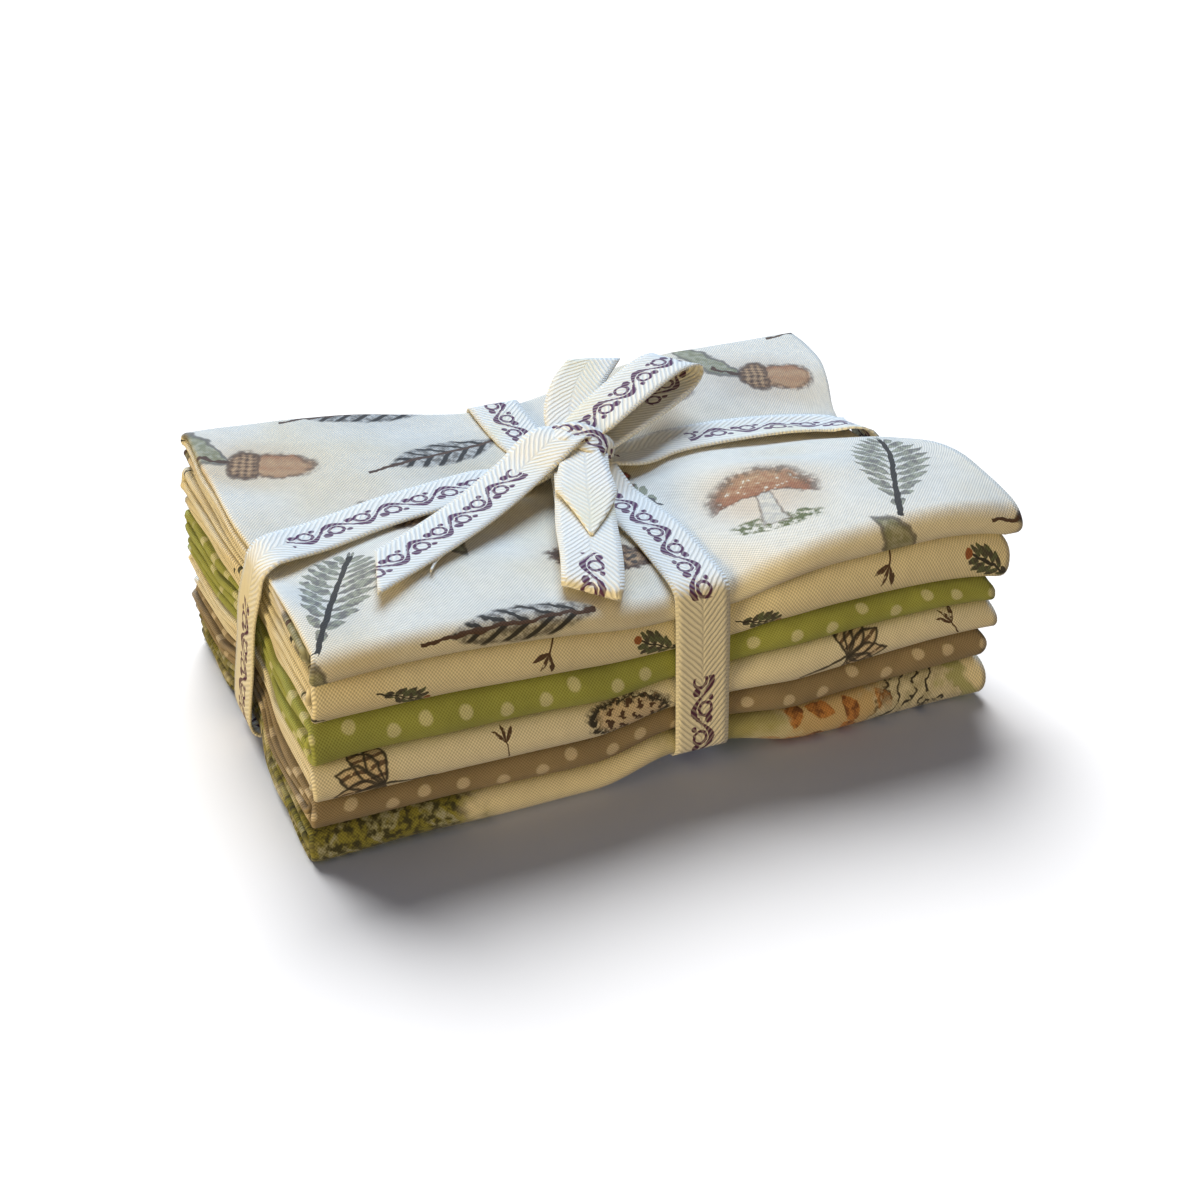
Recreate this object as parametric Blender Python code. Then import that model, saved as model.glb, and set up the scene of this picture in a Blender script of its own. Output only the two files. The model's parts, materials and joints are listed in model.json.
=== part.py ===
"""Fat quarter bundle: six folded cuts of quilting cotton, stacked and tied both ways with a cotton tape.

Each cut measures 457 x 559 mm flat. It is folded in three along its length and in four along its
width, so the folded piece is 186 x 114 mm. The solids show the fold in four: each ply here stands for
the three cloth layers of the fold in three. The tape presses the stack in along two crossing bands.
"""
import bpy
import bmesh
from collections import namedtuple
from math import cos, exp, hypot, pi, radians, sin
from mathutils import Vector

MM = 0.001

# Driving sizes, in millimetres
CUT_LENGTH = 559.0
CUT_WIDTH = 457.0
FOLDED_LENGTH = CUT_LENGTH / 3
FOLDED_DEPTH = CUT_WIDTH / 4
HALF_LENGTH = FOLDED_LENGTH / 2
HALF_DEPTH = FOLDED_DEPTH / 2
PLY = 1.9
PLY_GAP = 0.42
PLY_PITCH = PLY + PLY_GAP
SLOT = 4 * PLY + 3 * PLY_GAP
PIECE_GAP = 1.25
TAPE_WIDTH = 14.5
TAPE_THICKNESS = 1.0
TAPE_CLEARANCE = 0.75

# Where the middle of the whole bundle's outline lies, so that it becomes the origin
MIDDLE_X = 0.64
MIDDLE_Y = -0.43

# The stack's top, without the tape's pull
TOP_FRONT_LEFT = 56.0
TOP_FRONT_RIGHT = 60.5
TOP_BACK_LEFT = 63.6
TOP_BACK_RIGHT = 62.0

# The front right corner of the stack hangs lower than the plane through the four corners
CORNER_DROOP = 4.2
DROOP_FROM_X = 72.0
DROOP_FROM_Y = -26.0

# The top rounds down towards the front edge where the front-back band bends over it
FRONT_EDGE_DROOP = 3.0
FRONT_EDGE_FROM_Y = -34.0
FRONT_EDGE_WIDTH = 16.0

# Where the two bands of tape run: along is the place on the run, aside the band's middle there
BandPlace = namedtuple("BandPlace", "along aside")
FRONT_BACK_BAND = (
    BandPlace(-57.0, 7.0),
    BandPlace(-30.0, 7.0),
    BandPlace(-10.0, 5.0),
    BandPlace(12.0, 0.5),
    BandPlace(30.0, -5.0),
    BandPlace(57.0, -5.5),
)
LEFT_RIGHT_BAND = (
    BandPlace(-93.0, -11.0),
    BandPlace(-63.0, -0.5),
    BandPlace(-40.0, 5.5),
    BandPlace(-14.0, 11.5),
    BandPlace(10.0, 10.5),
    BandPlace(30.0, 12.5),
    BandPlace(50.0, 10.5),
    BandPlace(67.0, 7.0),
    BandPlace(85.0, 1.0),
)
UNDER_FRONT_X = 8.0
UNDER_BACK_X = -5.0
UNDER_Y = 5.0

# The tape's pull: two crossing valleys on top, a raised waist below and a pinch at each edge
VALLEY_FRONT = 6.0
VALLEY_BACK = 7.0
VALLEY_SIDE = 3.0
VALLEY_RIGHT_END = 4.0
VALLEY_RIGHT_SHIFT = 3.5
VALLEY_OVERLAP = 0.35
VALLEY_WIDTH_LEFT = 38.0
VALLEY_WIDTH_RIGHT_FRONT = 17.0
VALLEY_WIDTH_RIGHT_BACK = 28.0
VALLEY_WIDTH_SIDE = 13.0
HALF_FLAT = 5.4
WAIST_LIFT = 4.0
WAIST_FALL_X = 24.0
WAIST_FALL_Y = 20.0
PINCH_WIDTH = 12.0
PINCH_WIDTH_RIGHT_TOP = 15.0
PINCH_WIDTH_RIGHT_BACK = 24.0
PINCH_REACH = 26.0
PINCH_RIGHT_LOW = 4.0
PINCH_RIGHT_TOP = 13.0
PINCH_LEFT = 2.2
PINCH_FRONT = 2.0
PINCH_BACK = 2.0

Piece = namedtuple("Piece", "name share_left share_middle share_right left_front left_back right_front "
                   "right_back front back fan colour")

# share_...: the height of the piece's underside as a share of the stack's height, from the bottom up
PIECES = (
    Piece("fat_quarter_mossy_leaves",
          0.0, 0.0, 0.0, -93.6, -92.6, 91.5, 91.0, -57.0, 56.4, 0.7, (0.55, 0.56, 0.36)),
    Piece("fat_quarter_taupe_dots",
          0.150, 0.145, 0.200, -92.2, -93.2, 90.5, 91.5, -56.3, 57.0, 0.9, (0.56, 0.49, 0.40)),
    Piece("fat_quarter_cone_sketch",
          0.285, 0.290, 0.355, -91.2, -93.6, 93.5, 92.0, -56.8, 56.2, 1.1, (0.86, 0.82, 0.72)),
    Piece("fat_quarter_green_dots",
          0.445, 0.475, 0.490, -90.4, -93.6, 92.4, 91.2, -56.2, 56.8, 1.2, (0.47, 0.49, 0.22)),
    Piece("fat_quarter_cream_sprigs",
          0.655, 0.648, 0.600, -89.4, -93.4, 95.4, 92.4, -56.4, 56.4, 1.0, (0.84, 0.80, 0.68)),
    Piece("fat_quarter_top_sprigs",
          0.855, 0.845, 0.830, -89.6, -91.6, 96.4, 91.0, -57.0, 57.0, 0.8, (0.88, 0.86, 0.80)),
)
TAPE_NAME = "tape_tie"
TAPE_COLOUR = (0.90, 0.88, 0.82)

# Section stations across the depth and sections along the length, closer where the tape pulls
DEPTH_STATIONS = (28.0, 17.0, 6.0, -5.0, -18.0)
LENGTH_STATIONS = (-78.0, -60.0, -42.0, -24.0, -10.0, 1.0, 12.0, 23.0, 36.0, 52.0, 68.0, 81.0)
END_ROUNDING = ((0.0, 0.5), (0.8, 1.0))
OUTER_BEND_STEPS = 5
TIGHT_BEND_STEPS = 4

# The wave that sets each ply's end in or out: its steps for a ply, for the other end and for the fan
PLY_END_TURN = 2.3
PLY_END_SIDE = 1.7
PLY_END_FAN = 9.0

# How far the two raw edges stop short of the back, in steps of the piece's own fan
LOWER_RAW_STEPS = 0.8
UPPER_RAW_STEPS = 2.2

SectionPoint = namedtuple("SectionPoint", "y z normal_y normal_z turn")

# The bow: across is the heading of the tape's width in degrees, lean its tilt out of level
TapePoint = namedtuple("TapePoint", "x y z across lean")
FRONT_LOOP = (
    TapePoint(0.0, 7.0, 60.5, -18, 0),
    TapePoint(-4.5, -8.0, 57.6, -20, 0),
    TapePoint(-11.0, -27.0, 55.9, -22, 0),
    TapePoint(-16.5, -42.0, 55.4, -28, 0),
    TapePoint(-19.4, -50.5, 55.7, -32, 0),
    TapePoint(-20.6, -53.6, 57.3, -33, 0),
    TapePoint(-19.4, -51.0, 58.9, -32, 0),
    TapePoint(-15.8, -41.0, 59.9, -28, 0),
    TapePoint(-10.4, -26.0, 60.8, -21, 0),
    TapePoint(-4.6, -9.0, 61.9, -14, 0),
    TapePoint(0.0, 4.0, 63.2, -8, 0),
)
BACK_LOOP = (
    TapePoint(1.0, 10.0, 64.4, -58, 0),
    TapePoint(14.0, 16.4, 69.0, -62, 0),
    TapePoint(25.0, 22.4, 71.6, -62, 0),
    TapePoint(34.0, 27.4, 72.7, -60, 0),
    TapePoint(40.0, 29.7, 70.7, -58, 0),
    TapePoint(37.8, 27.4, 67.6, -58, 0),
    TapePoint(29.5, 22.0, 65.8, -60, 0),
    TapePoint(17.0, 15.2, 64.0, -60, 0),
    TapePoint(4.0, 9.5, 61.8, -60, 0),
)
LEFT_TAIL = (
    TapePoint(-1.0, 9.2, 62.6, -56, 0),
    TapePoint(-10.5, 6.4, 62.4, -58, 0),
    TapePoint(-17.0, 3.2, 61.4, -56, 0),
    TapePoint(-32.5, -8.0, 60.4, -54, 0),
    TapePoint(-49.0, -20.0, 60.4, -54, 0),
    TapePoint(-66.0, -32.4, 60.8, -62, 0),
)
BACK_TAIL = (
    TapePoint(0.5, 9.0, 64.0, -30, 0),
    TapePoint(5.0, 22.0, 67.0, -20, 0),
    TapePoint(11.0, 31.5, 69.8, -14, 0),
    TapePoint(19.2, 39.6, 72.0, 2, 0),
)
KNOT_WRAP = (
    TapePoint(-8.0, 14.0, 60.5, 40, 0),
    TapePoint(-5.0, 13.0, 65.4, 40, 0),
    TapePoint(-0.5, 9.0, 67.4, 40, 0),
    TapePoint(4.0, 5.0, 65.4, 40, 0),
    TapePoint(6.4, 2.6, 60.5, 40, 0),
)
KNOT_MIDDLE = (0.0, 9.5, 61.8)
KNOT_RADII = (9.5, 8.5, 5.2)
KNOT_SEGMENTS = 14
KNOT_RINGS = 8
KNOT_FRONT = TapePoint(2.0, 7.0, 59.6, 0, 0)
KNOT_BACK = TapePoint(-0.5, 13.0, 59.6, 0, 0)
KNOT_LEFT = TapePoint(-3.0, 11.0, 59.6, 90, 0)
KNOT_RIGHT = TapePoint(4.0, 10.5, 59.6, 90, 0)

# How the left-right band goes down each end of the stack
EndPoint = namedtuple("EndPoint", "x y z")
LEFT_END_RUN = (
    EndPoint(-84.0, -7.8, 59.6),
    EndPoint(-88.4, -9.0, 59.0),
    EndPoint(-90.8, -9.4, 56.8),
    EndPoint(-91.8, -9.0, 52.5),
    EndPoint(-93.3, -6.0, 42.0),
    EndPoint(-93.9, -1.5, 27.0),
    EndPoint(-94.4, 3.5, 12.0),
    EndPoint(-94.3, 5.0, 6.2),
    EndPoint(-92.8, 5.0, 2.9),
    EndPoint(-88.5, 5.0, 2.1),
)
RIGHT_END_RUN = (
    EndPoint(84.0, 5.0, 2.1),
    EndPoint(88.6, 5.0, 2.9),
    EndPoint(90.1, 5.0, 6.4),
    EndPoint(89.5, 4.6, 14.0),
    EndPoint(88.0, 3.4, 28.0),
    EndPoint(86.2, 2.0, 42.0),
    EndPoint(85.2, 1.2, 51.0),
    EndPoint(83.2, 1.0, 56.0),
    EndPoint(79.0, 1.8, 58.0),
)

# Where the bands are held to the stack: places along each run, and angles round its corners
TOP_FRONT_STATIONS = (-6.0, -16.0, -28.0, -42.0)
TOP_BACK_STATIONS = (44.0, 33.0, 23.0)
TOP_LEFT_STATIONS = (-15.0, -26.0, -40.0, -56.0, -72.0)
TOP_RIGHT_STATIONS = (72.0, 60.0, 45.0, 30.0, 18.0)
UNDER_DEPTH_STATIONS = (-38.0, -18.0, 5.0, 26.0, 42.0)
UNDER_LENGTH_STATIONS = (-70.0, -45.0, -20.0, 6.0, 30.0, 55.0, 75.0)
FRONT_FACE_HEIGHTS = (40.0, 25.0, 12.0)
BACK_FACE_HEIGHTS = (18.0, 34.0)
BACK_FACE_TOP_DROP = 8.0
TOP_FRONT_ANGLES = (95, 125, 155)
LOW_FRONT_ANGLES = (205, 235, 265)
TOP_BACK_ANGLES = (20, 50, 80)
LOW_BACK_CORNER = ((5.5, 0.0), (1.7, 0.1), (0.1, 2.2))

TAPE_STAND_OFF = TAPE_CLEARANCE + 0.5 * TAPE_THICKNESS
FOLD_RADIUS = 1.5 * PLY_PITCH + 0.5 * PLY
BACK_FOLD_RADIUS = 0.5 * PLY_PITCH + 0.5 * PLY
LOW_CORNER_RISE = 4.6
LOW_FRONT_ROOM = 0.2
TOP_CLEARANCE = 0.5
UNDER_CROSSING_DROP = 0.4


def mix(low, high, t):
    return low + (high - low) * t


def clamp01(t):
    return min(max(t, 0.0), 1.0)


def bell(offset, width):
    return exp(-(offset / width) ** 2)


def beside_tape(offset):
    return max(0.0, abs(offset) - HALF_FLAT)


def plateau(offset, width):
    """1 across the tape's own width, falling away on both sides."""
    return bell(beside_tape(offset), width)


def hump(offset, half_width):
    ratio = offset / half_width
    return (1 - ratio * ratio) ** 2 if abs(ratio) < 1 else 0.0


def length_share(x):
    return clamp01((x + HALF_LENGTH) / (2 * HALF_LENGTH))


def depth_share(y):
    return clamp01((y + HALF_DEPTH) / (2 * HALF_DEPTH))


def band_middle(places, along):
    """The band's middle at one place on its run, on a smooth curve through its table."""
    last = len(places) - 1
    if along <= places[0].along:
        return places[0].aside
    if along >= places[last].along:
        return places[last].aside
    index = max(i for i in range(last) if places[i].along <= along)

    def slope(i):
        low = places[max(i - 1, 0)]
        high = places[min(i + 1, last)]
        return (high.aside - low.aside) / (high.along - low.along)

    start = places[index]
    end = places[index + 1]
    span = end.along - start.along
    t = (along - start.along) / span
    rise = t * t * (3 - 2 * t)
    lead_in = t * (1 - t) ** 2 * span * slope(index)
    lead_out = t * t * (1 - t) * span * slope(index + 1)
    return mix(start.aside, end.aside, rise) + lead_in - lead_out


def corner_droop(x, y):
    along = clamp01((x - DROOP_FROM_X) / (HALF_LENGTH - DROOP_FROM_X))
    across = clamp01((y - DROOP_FROM_Y) / (-HALF_DEPTH - DROOP_FROM_Y))
    return CORNER_DROOP * (along * across) ** 2


def front_edge_droop(x, y):
    share = clamp01((y - FRONT_EDGE_FROM_Y) / (-HALF_DEPTH - FRONT_EDGE_FROM_Y))
    return FRONT_EDGE_DROOP * share ** 2 * plateau(x - FRONT_BACK_BAND[0].aside, FRONT_EDGE_WIDTH)


def top_height(x, y):
    """Height of the stack's top: four corner heights, less the valleys that the tape presses in."""
    u = length_share(x)
    v = depth_share(y)
    corners = mix(mix(TOP_FRONT_LEFT, TOP_FRONT_RIGHT, u), mix(TOP_BACK_LEFT, TOP_BACK_RIGHT, u), v)
    from_front_back = x - band_middle(FRONT_BACK_BAND, y)
    right_half = max(0.0, 2 * u - 1)
    from_left_right = y - band_middle(LEFT_RIGHT_BAND, x) - VALLEY_RIGHT_SHIFT * right_half ** 2
    right_width = mix(VALLEY_WIDTH_RIGHT_FRONT, VALLEY_WIDTH_RIGHT_BACK, v)
    width = VALLEY_WIDTH_LEFT if from_front_back < 0 else right_width
    front_to_back = mix(VALLEY_FRONT, VALLEY_BACK, v) * plateau(from_front_back, width)
    side_depth = VALLEY_SIDE + VALLEY_RIGHT_END * right_half
    side_to_side = side_depth * plateau(from_left_right, VALLEY_WIDTH_SIDE)
    deeper = max(front_to_back, side_to_side)
    shallower = min(front_to_back, side_to_side)
    droop = corner_droop(x, y) + front_edge_droop(x, y)
    return corners - deeper - VALLEY_OVERLAP * shallower - droop


def waist(x, y):
    """Height of the stack's underside: flat on the table, raised where the tape passes under it."""
    along = hump(beside_tape(x - mix(UNDER_FRONT_X, UNDER_BACK_X, depth_share(y))), WAIST_FALL_X)
    across = hump(beside_tape(y - UNDER_Y), WAIST_FALL_Y)
    return WAIST_LIFT * (along + across - along * across)


def edge_pull(distance_in):
    """1 on the outline, falling to 0 over the pinch's reach."""
    t = clamp01(1 - distance_in / PINCH_REACH)
    return t * t


def side_band_y(end_y, rise):
    """The band slants on the stack's ends: at end_y on top and at UNDER_Y on the table."""
    return mix(UNDER_Y, end_y, rise)


def pinched(x, y, rise):
    """Moves a point in from each edge where a band of tape crosses it; rise is 0 low to 1 on top."""
    right_y = side_band_y(LEFT_RIGHT_BAND[-1].aside, rise)
    left_y = side_band_y(LEFT_RIGHT_BAND[0].aside, rise)
    right_pull = mix(PINCH_RIGHT_LOW, PINCH_RIGHT_TOP, rise)
    top_width = PINCH_WIDTH_RIGHT_BACK if y > right_y else PINCH_WIDTH_RIGHT_TOP
    right_width = mix(PINCH_WIDTH, top_width, rise)
    right = right_pull * plateau(y - right_y, right_width) * edge_pull(HALF_LENGTH - x)
    left = PINCH_LEFT * plateau(y - left_y, PINCH_WIDTH) * edge_pull(x + HALF_LENGTH)
    front = PINCH_FRONT * plateau(x - FRONT_BACK_BAND[0].aside, PINCH_WIDTH) * edge_pull(y + HALF_DEPTH)
    back = PINCH_BACK * plateau(x - FRONT_BACK_BAND[-1].aside, PINCH_WIDTH) * edge_pull(HALF_DEPTH - y)
    return x - right + left, y + front - back


def share_at(left, middle, right, u):
    """A smooth curve through a share at the stack's left, middle and right."""
    bow = middle - 0.5 * (left + right)
    return mix(left, right, u) + 4 * bow * u * (1 - u)


def slot_height(index, x, y):
    """Heights of the bottom and top of one piece's place in the stack."""
    u = length_share(x)
    piece = PIECES[index]
    base = waist(x, y)
    height = top_height(x, y) - base
    low = base + height * share_at(piece.share_left, piece.share_middle, piece.share_right, u)
    if index > 0:
        low += PIECE_GAP / 2
    if index + 1 == len(PIECES):
        return low, base + height
    above = PIECES[index + 1]
    high = base + height * share_at(above.share_left, above.share_middle, above.share_right, u)
    return low, high - PIECE_GAP / 2


def arc(centre_y, centre_z, radius, start, end, steps, side, turn_start, turn_end):
    """Points round one fold, without its first and last, which belong to the plies."""
    points = []
    for step in range(1, steps):
        t = step / steps
        angle = radians(mix(start, end, t))
        out_y = cos(angle)
        out_z = sin(angle)
        point = SectionPoint(centre_y + radius * out_y, centre_z + radius * out_z,
                             side * out_y, side * out_z, mix(turn_start, turn_end, t))
        points.append(point)
    return points


def folded_section(piece):
    """Centre line of one piece across its depth: folded in half, then in half again.

    It starts at the raw edge at the back, below, and runs forward, round the outer fold, back, round
    the back fold, forward, round the inner fold and back to the other raw edge.
    """
    outer_radius = 1.5 * PLY_PITCH
    inner_radius = 0.5 * PLY_PITCH
    levels = [PLY / 2 + PLY_PITCH * level for level in range(4)]
    front_centre = piece.front + outer_radius + PLY / 2
    back_centre = piece.back - inner_radius - PLY / 2
    raw_lower = piece.back - LOWER_RAW_STEPS * piece.fan
    raw_upper = piece.back - UPPER_RAW_STEPS * piece.fan
    going_forward = DEPTH_STATIONS
    going_back = tuple(reversed(DEPTH_STATIONS))

    def ply(ys, level, normal, turn):
        return [SectionPoint(y, levels[level], 0.0, normal, turn) for y in ys]

    middle = SLOT / 2
    between = 0.5 * (levels[2] + levels[3])
    points = ply((raw_lower,) + going_forward + (front_centre,), 0, -1.0, 0.0)
    points += arc(front_centre, middle, outer_radius, -90, -270, OUTER_BEND_STEPS, 1, 0.0, 3.0)
    points += ply((front_centre,) + going_back + (back_centre,), 3, 1.0, 3.0)
    points += arc(back_centre, between, inner_radius, 90, -90, TIGHT_BEND_STEPS, 1, 3.0, 2.0)
    points += ply((back_centre,) + going_forward + (front_centre,), 2, -1.0, 2.0)
    points += arc(front_centre, middle, inner_radius, 90, 270, TIGHT_BEND_STEPS, -1, 2.0, 1.0)
    points += ply((front_centre,) + going_back + (raw_upper,), 1, 1.0, 1.0)
    return points


def ply_step(piece, turn, side):
    """How far a ply's end steps in from the piece's end: the plies never lie quite even."""
    place_in_wave = PLY_END_TURN * turn + PLY_END_SIDE * side + PLY_END_FAN * piece.fan
    return piece.fan * (0.5 + 0.5 * sin(place_in_wave))


def length_sections(piece):
    """Each section along the length as a place and how full its plies are; ends are rounded off."""
    sections = [("left", inset, fullness) for inset, fullness in END_ROUNDING]
    sections += [("between", x, 1.0) for x in LENGTH_STATIONS]
    sections += [("right", inset, fullness) for inset, fullness in reversed(END_ROUNDING)]
    return sections


def section_x(piece, section, point):
    kind, value, _ = section
    v = depth_share(point.y)
    if kind == "left":
        return mix(piece.left_front, piece.left_back, v) + ply_step(piece, point.turn, 0) + value
    if kind == "right":
        return mix(piece.right_front, piece.right_back, v) - ply_step(piece, point.turn, 1) - value
    return value


def sweep_strip(section_count, strip_count, place):
    """A closed strip of material swept through sections by repeated extrusion.

    place(section, strip index, side) gives each vertex; side is 1 on one face of the strip, -1 on the
    other.
    """
    bm = bmesh.new()
    across = bm.verts.layers.int.new("across")
    facing = bm.verts.layers.int.new("facing")
    rows = []
    for index in range(strip_count):
        pair = []
        for side in (1, -1):
            vertex = bm.verts.new(place(0, index, side))
            vertex[across] = index
            vertex[facing] = side
            pair.append(vertex)
        rows.append(pair)
    for low, high in zip(rows, rows[1:]):
        bm.faces.new((low[0], low[1], high[1], high[0]))
    leading = bm.verts[:] + bm.edges[:] + bm.faces[:]
    for section in range(1, section_count):
        leading = bmesh.ops.extrude_face_region(bm, geom=leading)["geom"]
        for item in leading:
            if isinstance(item, bmesh.types.BMVert):
                item.co = place(section, item[across], item[facing])
    bmesh.ops.recalc_face_normals(bm, faces=bm.faces[:])
    return bm


def from_middle(x, y, z):
    """A place in metres, measured from the middle of the whole bundle's outline."""
    return Vector(((x - MIDDLE_X) * MM, (y - MIDDLE_Y) * MM, z * MM))


def fat_quarter_mesh(index):
    piece = PIECES[index]
    points = folded_section(piece)
    sections = length_sections(piece)

    def place(section, strip, side):
        point = points[strip]
        half = 0.5 * PLY * sections[section][2] * side
        x = section_x(piece, sections[section], point)
        y = point.y + half * point.normal_y
        z = point.z + half * point.normal_z
        x, y = pinched(x, y, index / (len(PIECES) - 1))
        low, high = slot_height(index, x, y)
        return from_middle(x, y, low + z / SLOT * (high - low))

    return sweep_strip(len(sections), len(points), place)


def smooth_route(points, steps):
    """A smooth curve through tape points (Catmull-Rom), with even steps between each two."""
    route = []
    last = len(points) - 1
    for index in range(last):
        four = [points[max(index - 1, 0)], points[index], points[index + 1], points[min(index + 2, last)]]
        for step in range(steps):
            t = step / steps
            weights = (-0.5 * t + t * t - 0.5 * t ** 3, 1 - 2.5 * t * t + 1.5 * t ** 3,
                       0.5 * t + 2 * t * t - 1.5 * t ** 3, -0.5 * t * t + 0.5 * t ** 3)
            route.append(TapePoint(*(sum(w * p[axis] for w, p in zip(weights, four)) for axis in range(5))))
    route.append(points[-1])
    return route


def tape_frames(route, closed):
    """Centre, direction across the width and face normal of the tape at each point of a route."""
    frames = []
    count = len(route)
    for index, point in enumerate(route):
        before = route[(index - 1) % count if closed else max(index - 1, 0)]
        after = route[(index + 1) % count if closed else min(index + 1, count - 1)]
        along = Vector((after.x - before.x, after.y - before.y, after.z - before.z)).normalized()
        heading = radians(point.across)
        lean = radians(point.lean)
        across = Vector((cos(heading) * cos(lean), sin(heading) * cos(lean), sin(lean)))
        across = (across - along * across.dot(along)).normalized()
        frames.append((Vector((point.x, point.y, point.z)), across, along.cross(across)))
    return frames


def tape_run_mesh(route):
    """One open run of tape, as a thin closed strip."""
    frames = tape_frames(route, False)

    def place(section, strip, side):
        centre, across, normal = frames[section]
        offset = (strip - 1) * 0.5 * TAPE_WIDTH
        spot = centre + across * offset + normal * (0.5 * TAPE_THICKNESS * side)
        return from_middle(*spot)

    return sweep_strip(len(frames), 3, place)


def under_tape(x, y):
    """The places below a tape's middle and its edges, whichever way it runs."""
    reach = 0.5 * TAPE_WIDTH
    return (x, y), (x - reach, y), (x + reach, y), (x, y - reach), (x, y + reach)


def rest_height(x, y):
    """Middle height of tape lying on the stack at one place, clear of the cloth over its width."""
    return max(top_height(*spot) for spot in under_tape(x, y)) + TAPE_STAND_OFF + TOP_CLEARANCE


def under_height(x, y, drop):
    """Middle height of tape passing under the stack."""
    return min(waist(*spot) for spot in under_tape(x, y)) - 0.5 * TAPE_THICKNESS - drop


def corner_point(x, centre_y, centre_z, radius, angle):
    """A place on tape going round a long edge of the stack."""
    turn = radians(angle)
    return TapePoint(x, centre_y + radius * cos(turn), centre_z + radius * sin(turn), 0, 0)


def front_back_route():
    """From the knot forward, down the front, under the stack, up the back and back to the knot."""
    front_x = FRONT_BACK_BAND[0].aside
    back_x = FRONT_BACK_BAND[-1].aside
    route = [KNOT_FRONT]
    for y in TOP_FRONT_STATIONS:
        x = band_middle(FRONT_BACK_BAND, y)
        route.append(TapePoint(x, y, rest_height(x, y), 0, 0))
    corner = FOLD_RADIUS + TAPE_STAND_OFF
    front_centre = -HALF_DEPTH + PINCH_FRONT + FOLD_RADIUS
    top = rest_height(front_x, front_centre)
    for angle in TOP_FRONT_ANGLES:
        route.append(corner_point(front_x, front_centre, top - corner, corner, angle))
    for z in FRONT_FACE_HEIGHTS:
        x = mix(UNDER_FRONT_X, front_x, z / top)
        route.append(TapePoint(x, front_centre - corner, z, 0, 0))
    low = under_height(UNDER_FRONT_X, front_centre, TAPE_CLEARANCE)
    for angle in LOW_FRONT_ANGLES:
        rise = LOW_CORNER_RISE * (1 + sin(radians(angle)))
        y = front_centre + (corner + LOW_FRONT_ROOM) * cos(radians(angle))
        route.append(TapePoint(UNDER_FRONT_X, y, low + rise, 0, 0))
    for y in UNDER_DEPTH_STATIONS:
        x = mix(UNDER_FRONT_X, UNDER_BACK_X, depth_share(y))
        route.append(TapePoint(x, y, under_height(x, y, TAPE_CLEARANCE), 0, 0))
    back_face = HALF_DEPTH - PINCH_BACK + TAPE_STAND_OFF
    low = under_height(UNDER_BACK_X, back_face, TAPE_CLEARANCE)
    for inset, rise in LOW_BACK_CORNER:
        route.append(TapePoint(UNDER_BACK_X, back_face - inset, low + rise, 0, 0))
    top = rest_height(back_x, HALF_DEPTH)
    for z in BACK_FACE_HEIGHTS + (top - BACK_FACE_TOP_DROP,):
        route.append(TapePoint(back_x, back_face, z, 0, 0))
    corner = BACK_FOLD_RADIUS + TAPE_STAND_OFF
    for angle in TOP_BACK_ANGLES:
        route.append(corner_point(back_x, back_face - corner, top - corner, corner, angle))
    for y in TOP_BACK_STATIONS:
        x = band_middle(FRONT_BACK_BAND, y)
        route.append(TapePoint(x, y, rest_height(x, y), 0, 0))
    route.append(KNOT_BACK)
    return route


def left_right_route():
    """From the knot left, down the left end, under the stack, up the right end and back to the knot."""
    route = [KNOT_LEFT]
    for x in TOP_LEFT_STATIONS:
        y = band_middle(LEFT_RIGHT_BAND, x)
        route.append(TapePoint(x, y, rest_height(x, y), 90, 0))
    route += [TapePoint(x, y, z, 90, 0) for x, y, z in LEFT_END_RUN]
    for x in UNDER_LENGTH_STATIONS:
        low = under_height(x, UNDER_Y, TAPE_CLEARANCE + UNDER_CROSSING_DROP)
        route.append(TapePoint(x, UNDER_Y, low, 90, 0))
    route += [TapePoint(x, y, z, 90, 0) for x, y, z in RIGHT_END_RUN]
    for x in TOP_RIGHT_STATIONS:
        y = band_middle(LEFT_RIGHT_BAND, x)
        route.append(TapePoint(x, y, rest_height(x, y), 90, 0))
    route.append(KNOT_RIGHT)
    return route


def knot_mesh():
    bm = bmesh.new()
    bmesh.ops.create_uvsphere(bm, u_segments=KNOT_SEGMENTS, v_segments=KNOT_RINGS, radius=1.0)
    for vertex in bm.verts:
        spot = [middle + radius * part for middle, radius, part in zip(KNOT_MIDDLE, KNOT_RADII, vertex.co)]
        vertex.co = from_middle(*spot)
    return bm


def build_tape_tie():
    """One solid: the knot, with both bands, both loops and both free ends joined to it."""
    material = cotton_material("cotton_tape", TAPE_COLOUR)
    tie = add_object(TAPE_NAME, knot_mesh(), material)
    runs = (
        ("wrap", KNOT_WRAP, 3),
        ("front_back_band", front_back_route(), 1),
        ("left_right_band", left_right_route(), 1),
        ("front_loop", FRONT_LOOP, 2),
        ("back_loop", BACK_LOOP, 2),
        ("left_tail", LEFT_TAIL, 3),
        ("back_tail", BACK_TAIL, 3),
    )
    for name, points, steps in runs:
        run = add_object("tape_run_" + name, tape_run_mesh(smooth_route(points, steps)), material)
        run.hide_render = True
        run.display_type = "WIRE"
        joined = tie.modifiers.new("join_" + name, "BOOLEAN")
        joined.operation = "UNION"
        joined.solver = "MANIFOLD"
        joined.object = run


def cotton_material(name, colour):
    material = bpy.data.materials.new(name)
    material.use_nodes = True
    shader = material.node_tree.nodes["Principled BSDF"]
    shader.inputs["Base Color"].default_value = (*colour, 1.0)
    shader.inputs["Roughness"].default_value = 0.9
    shader.inputs["Metallic"].default_value = 0.0
    material.diffuse_color = (*colour, 1.0)
    return material


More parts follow.
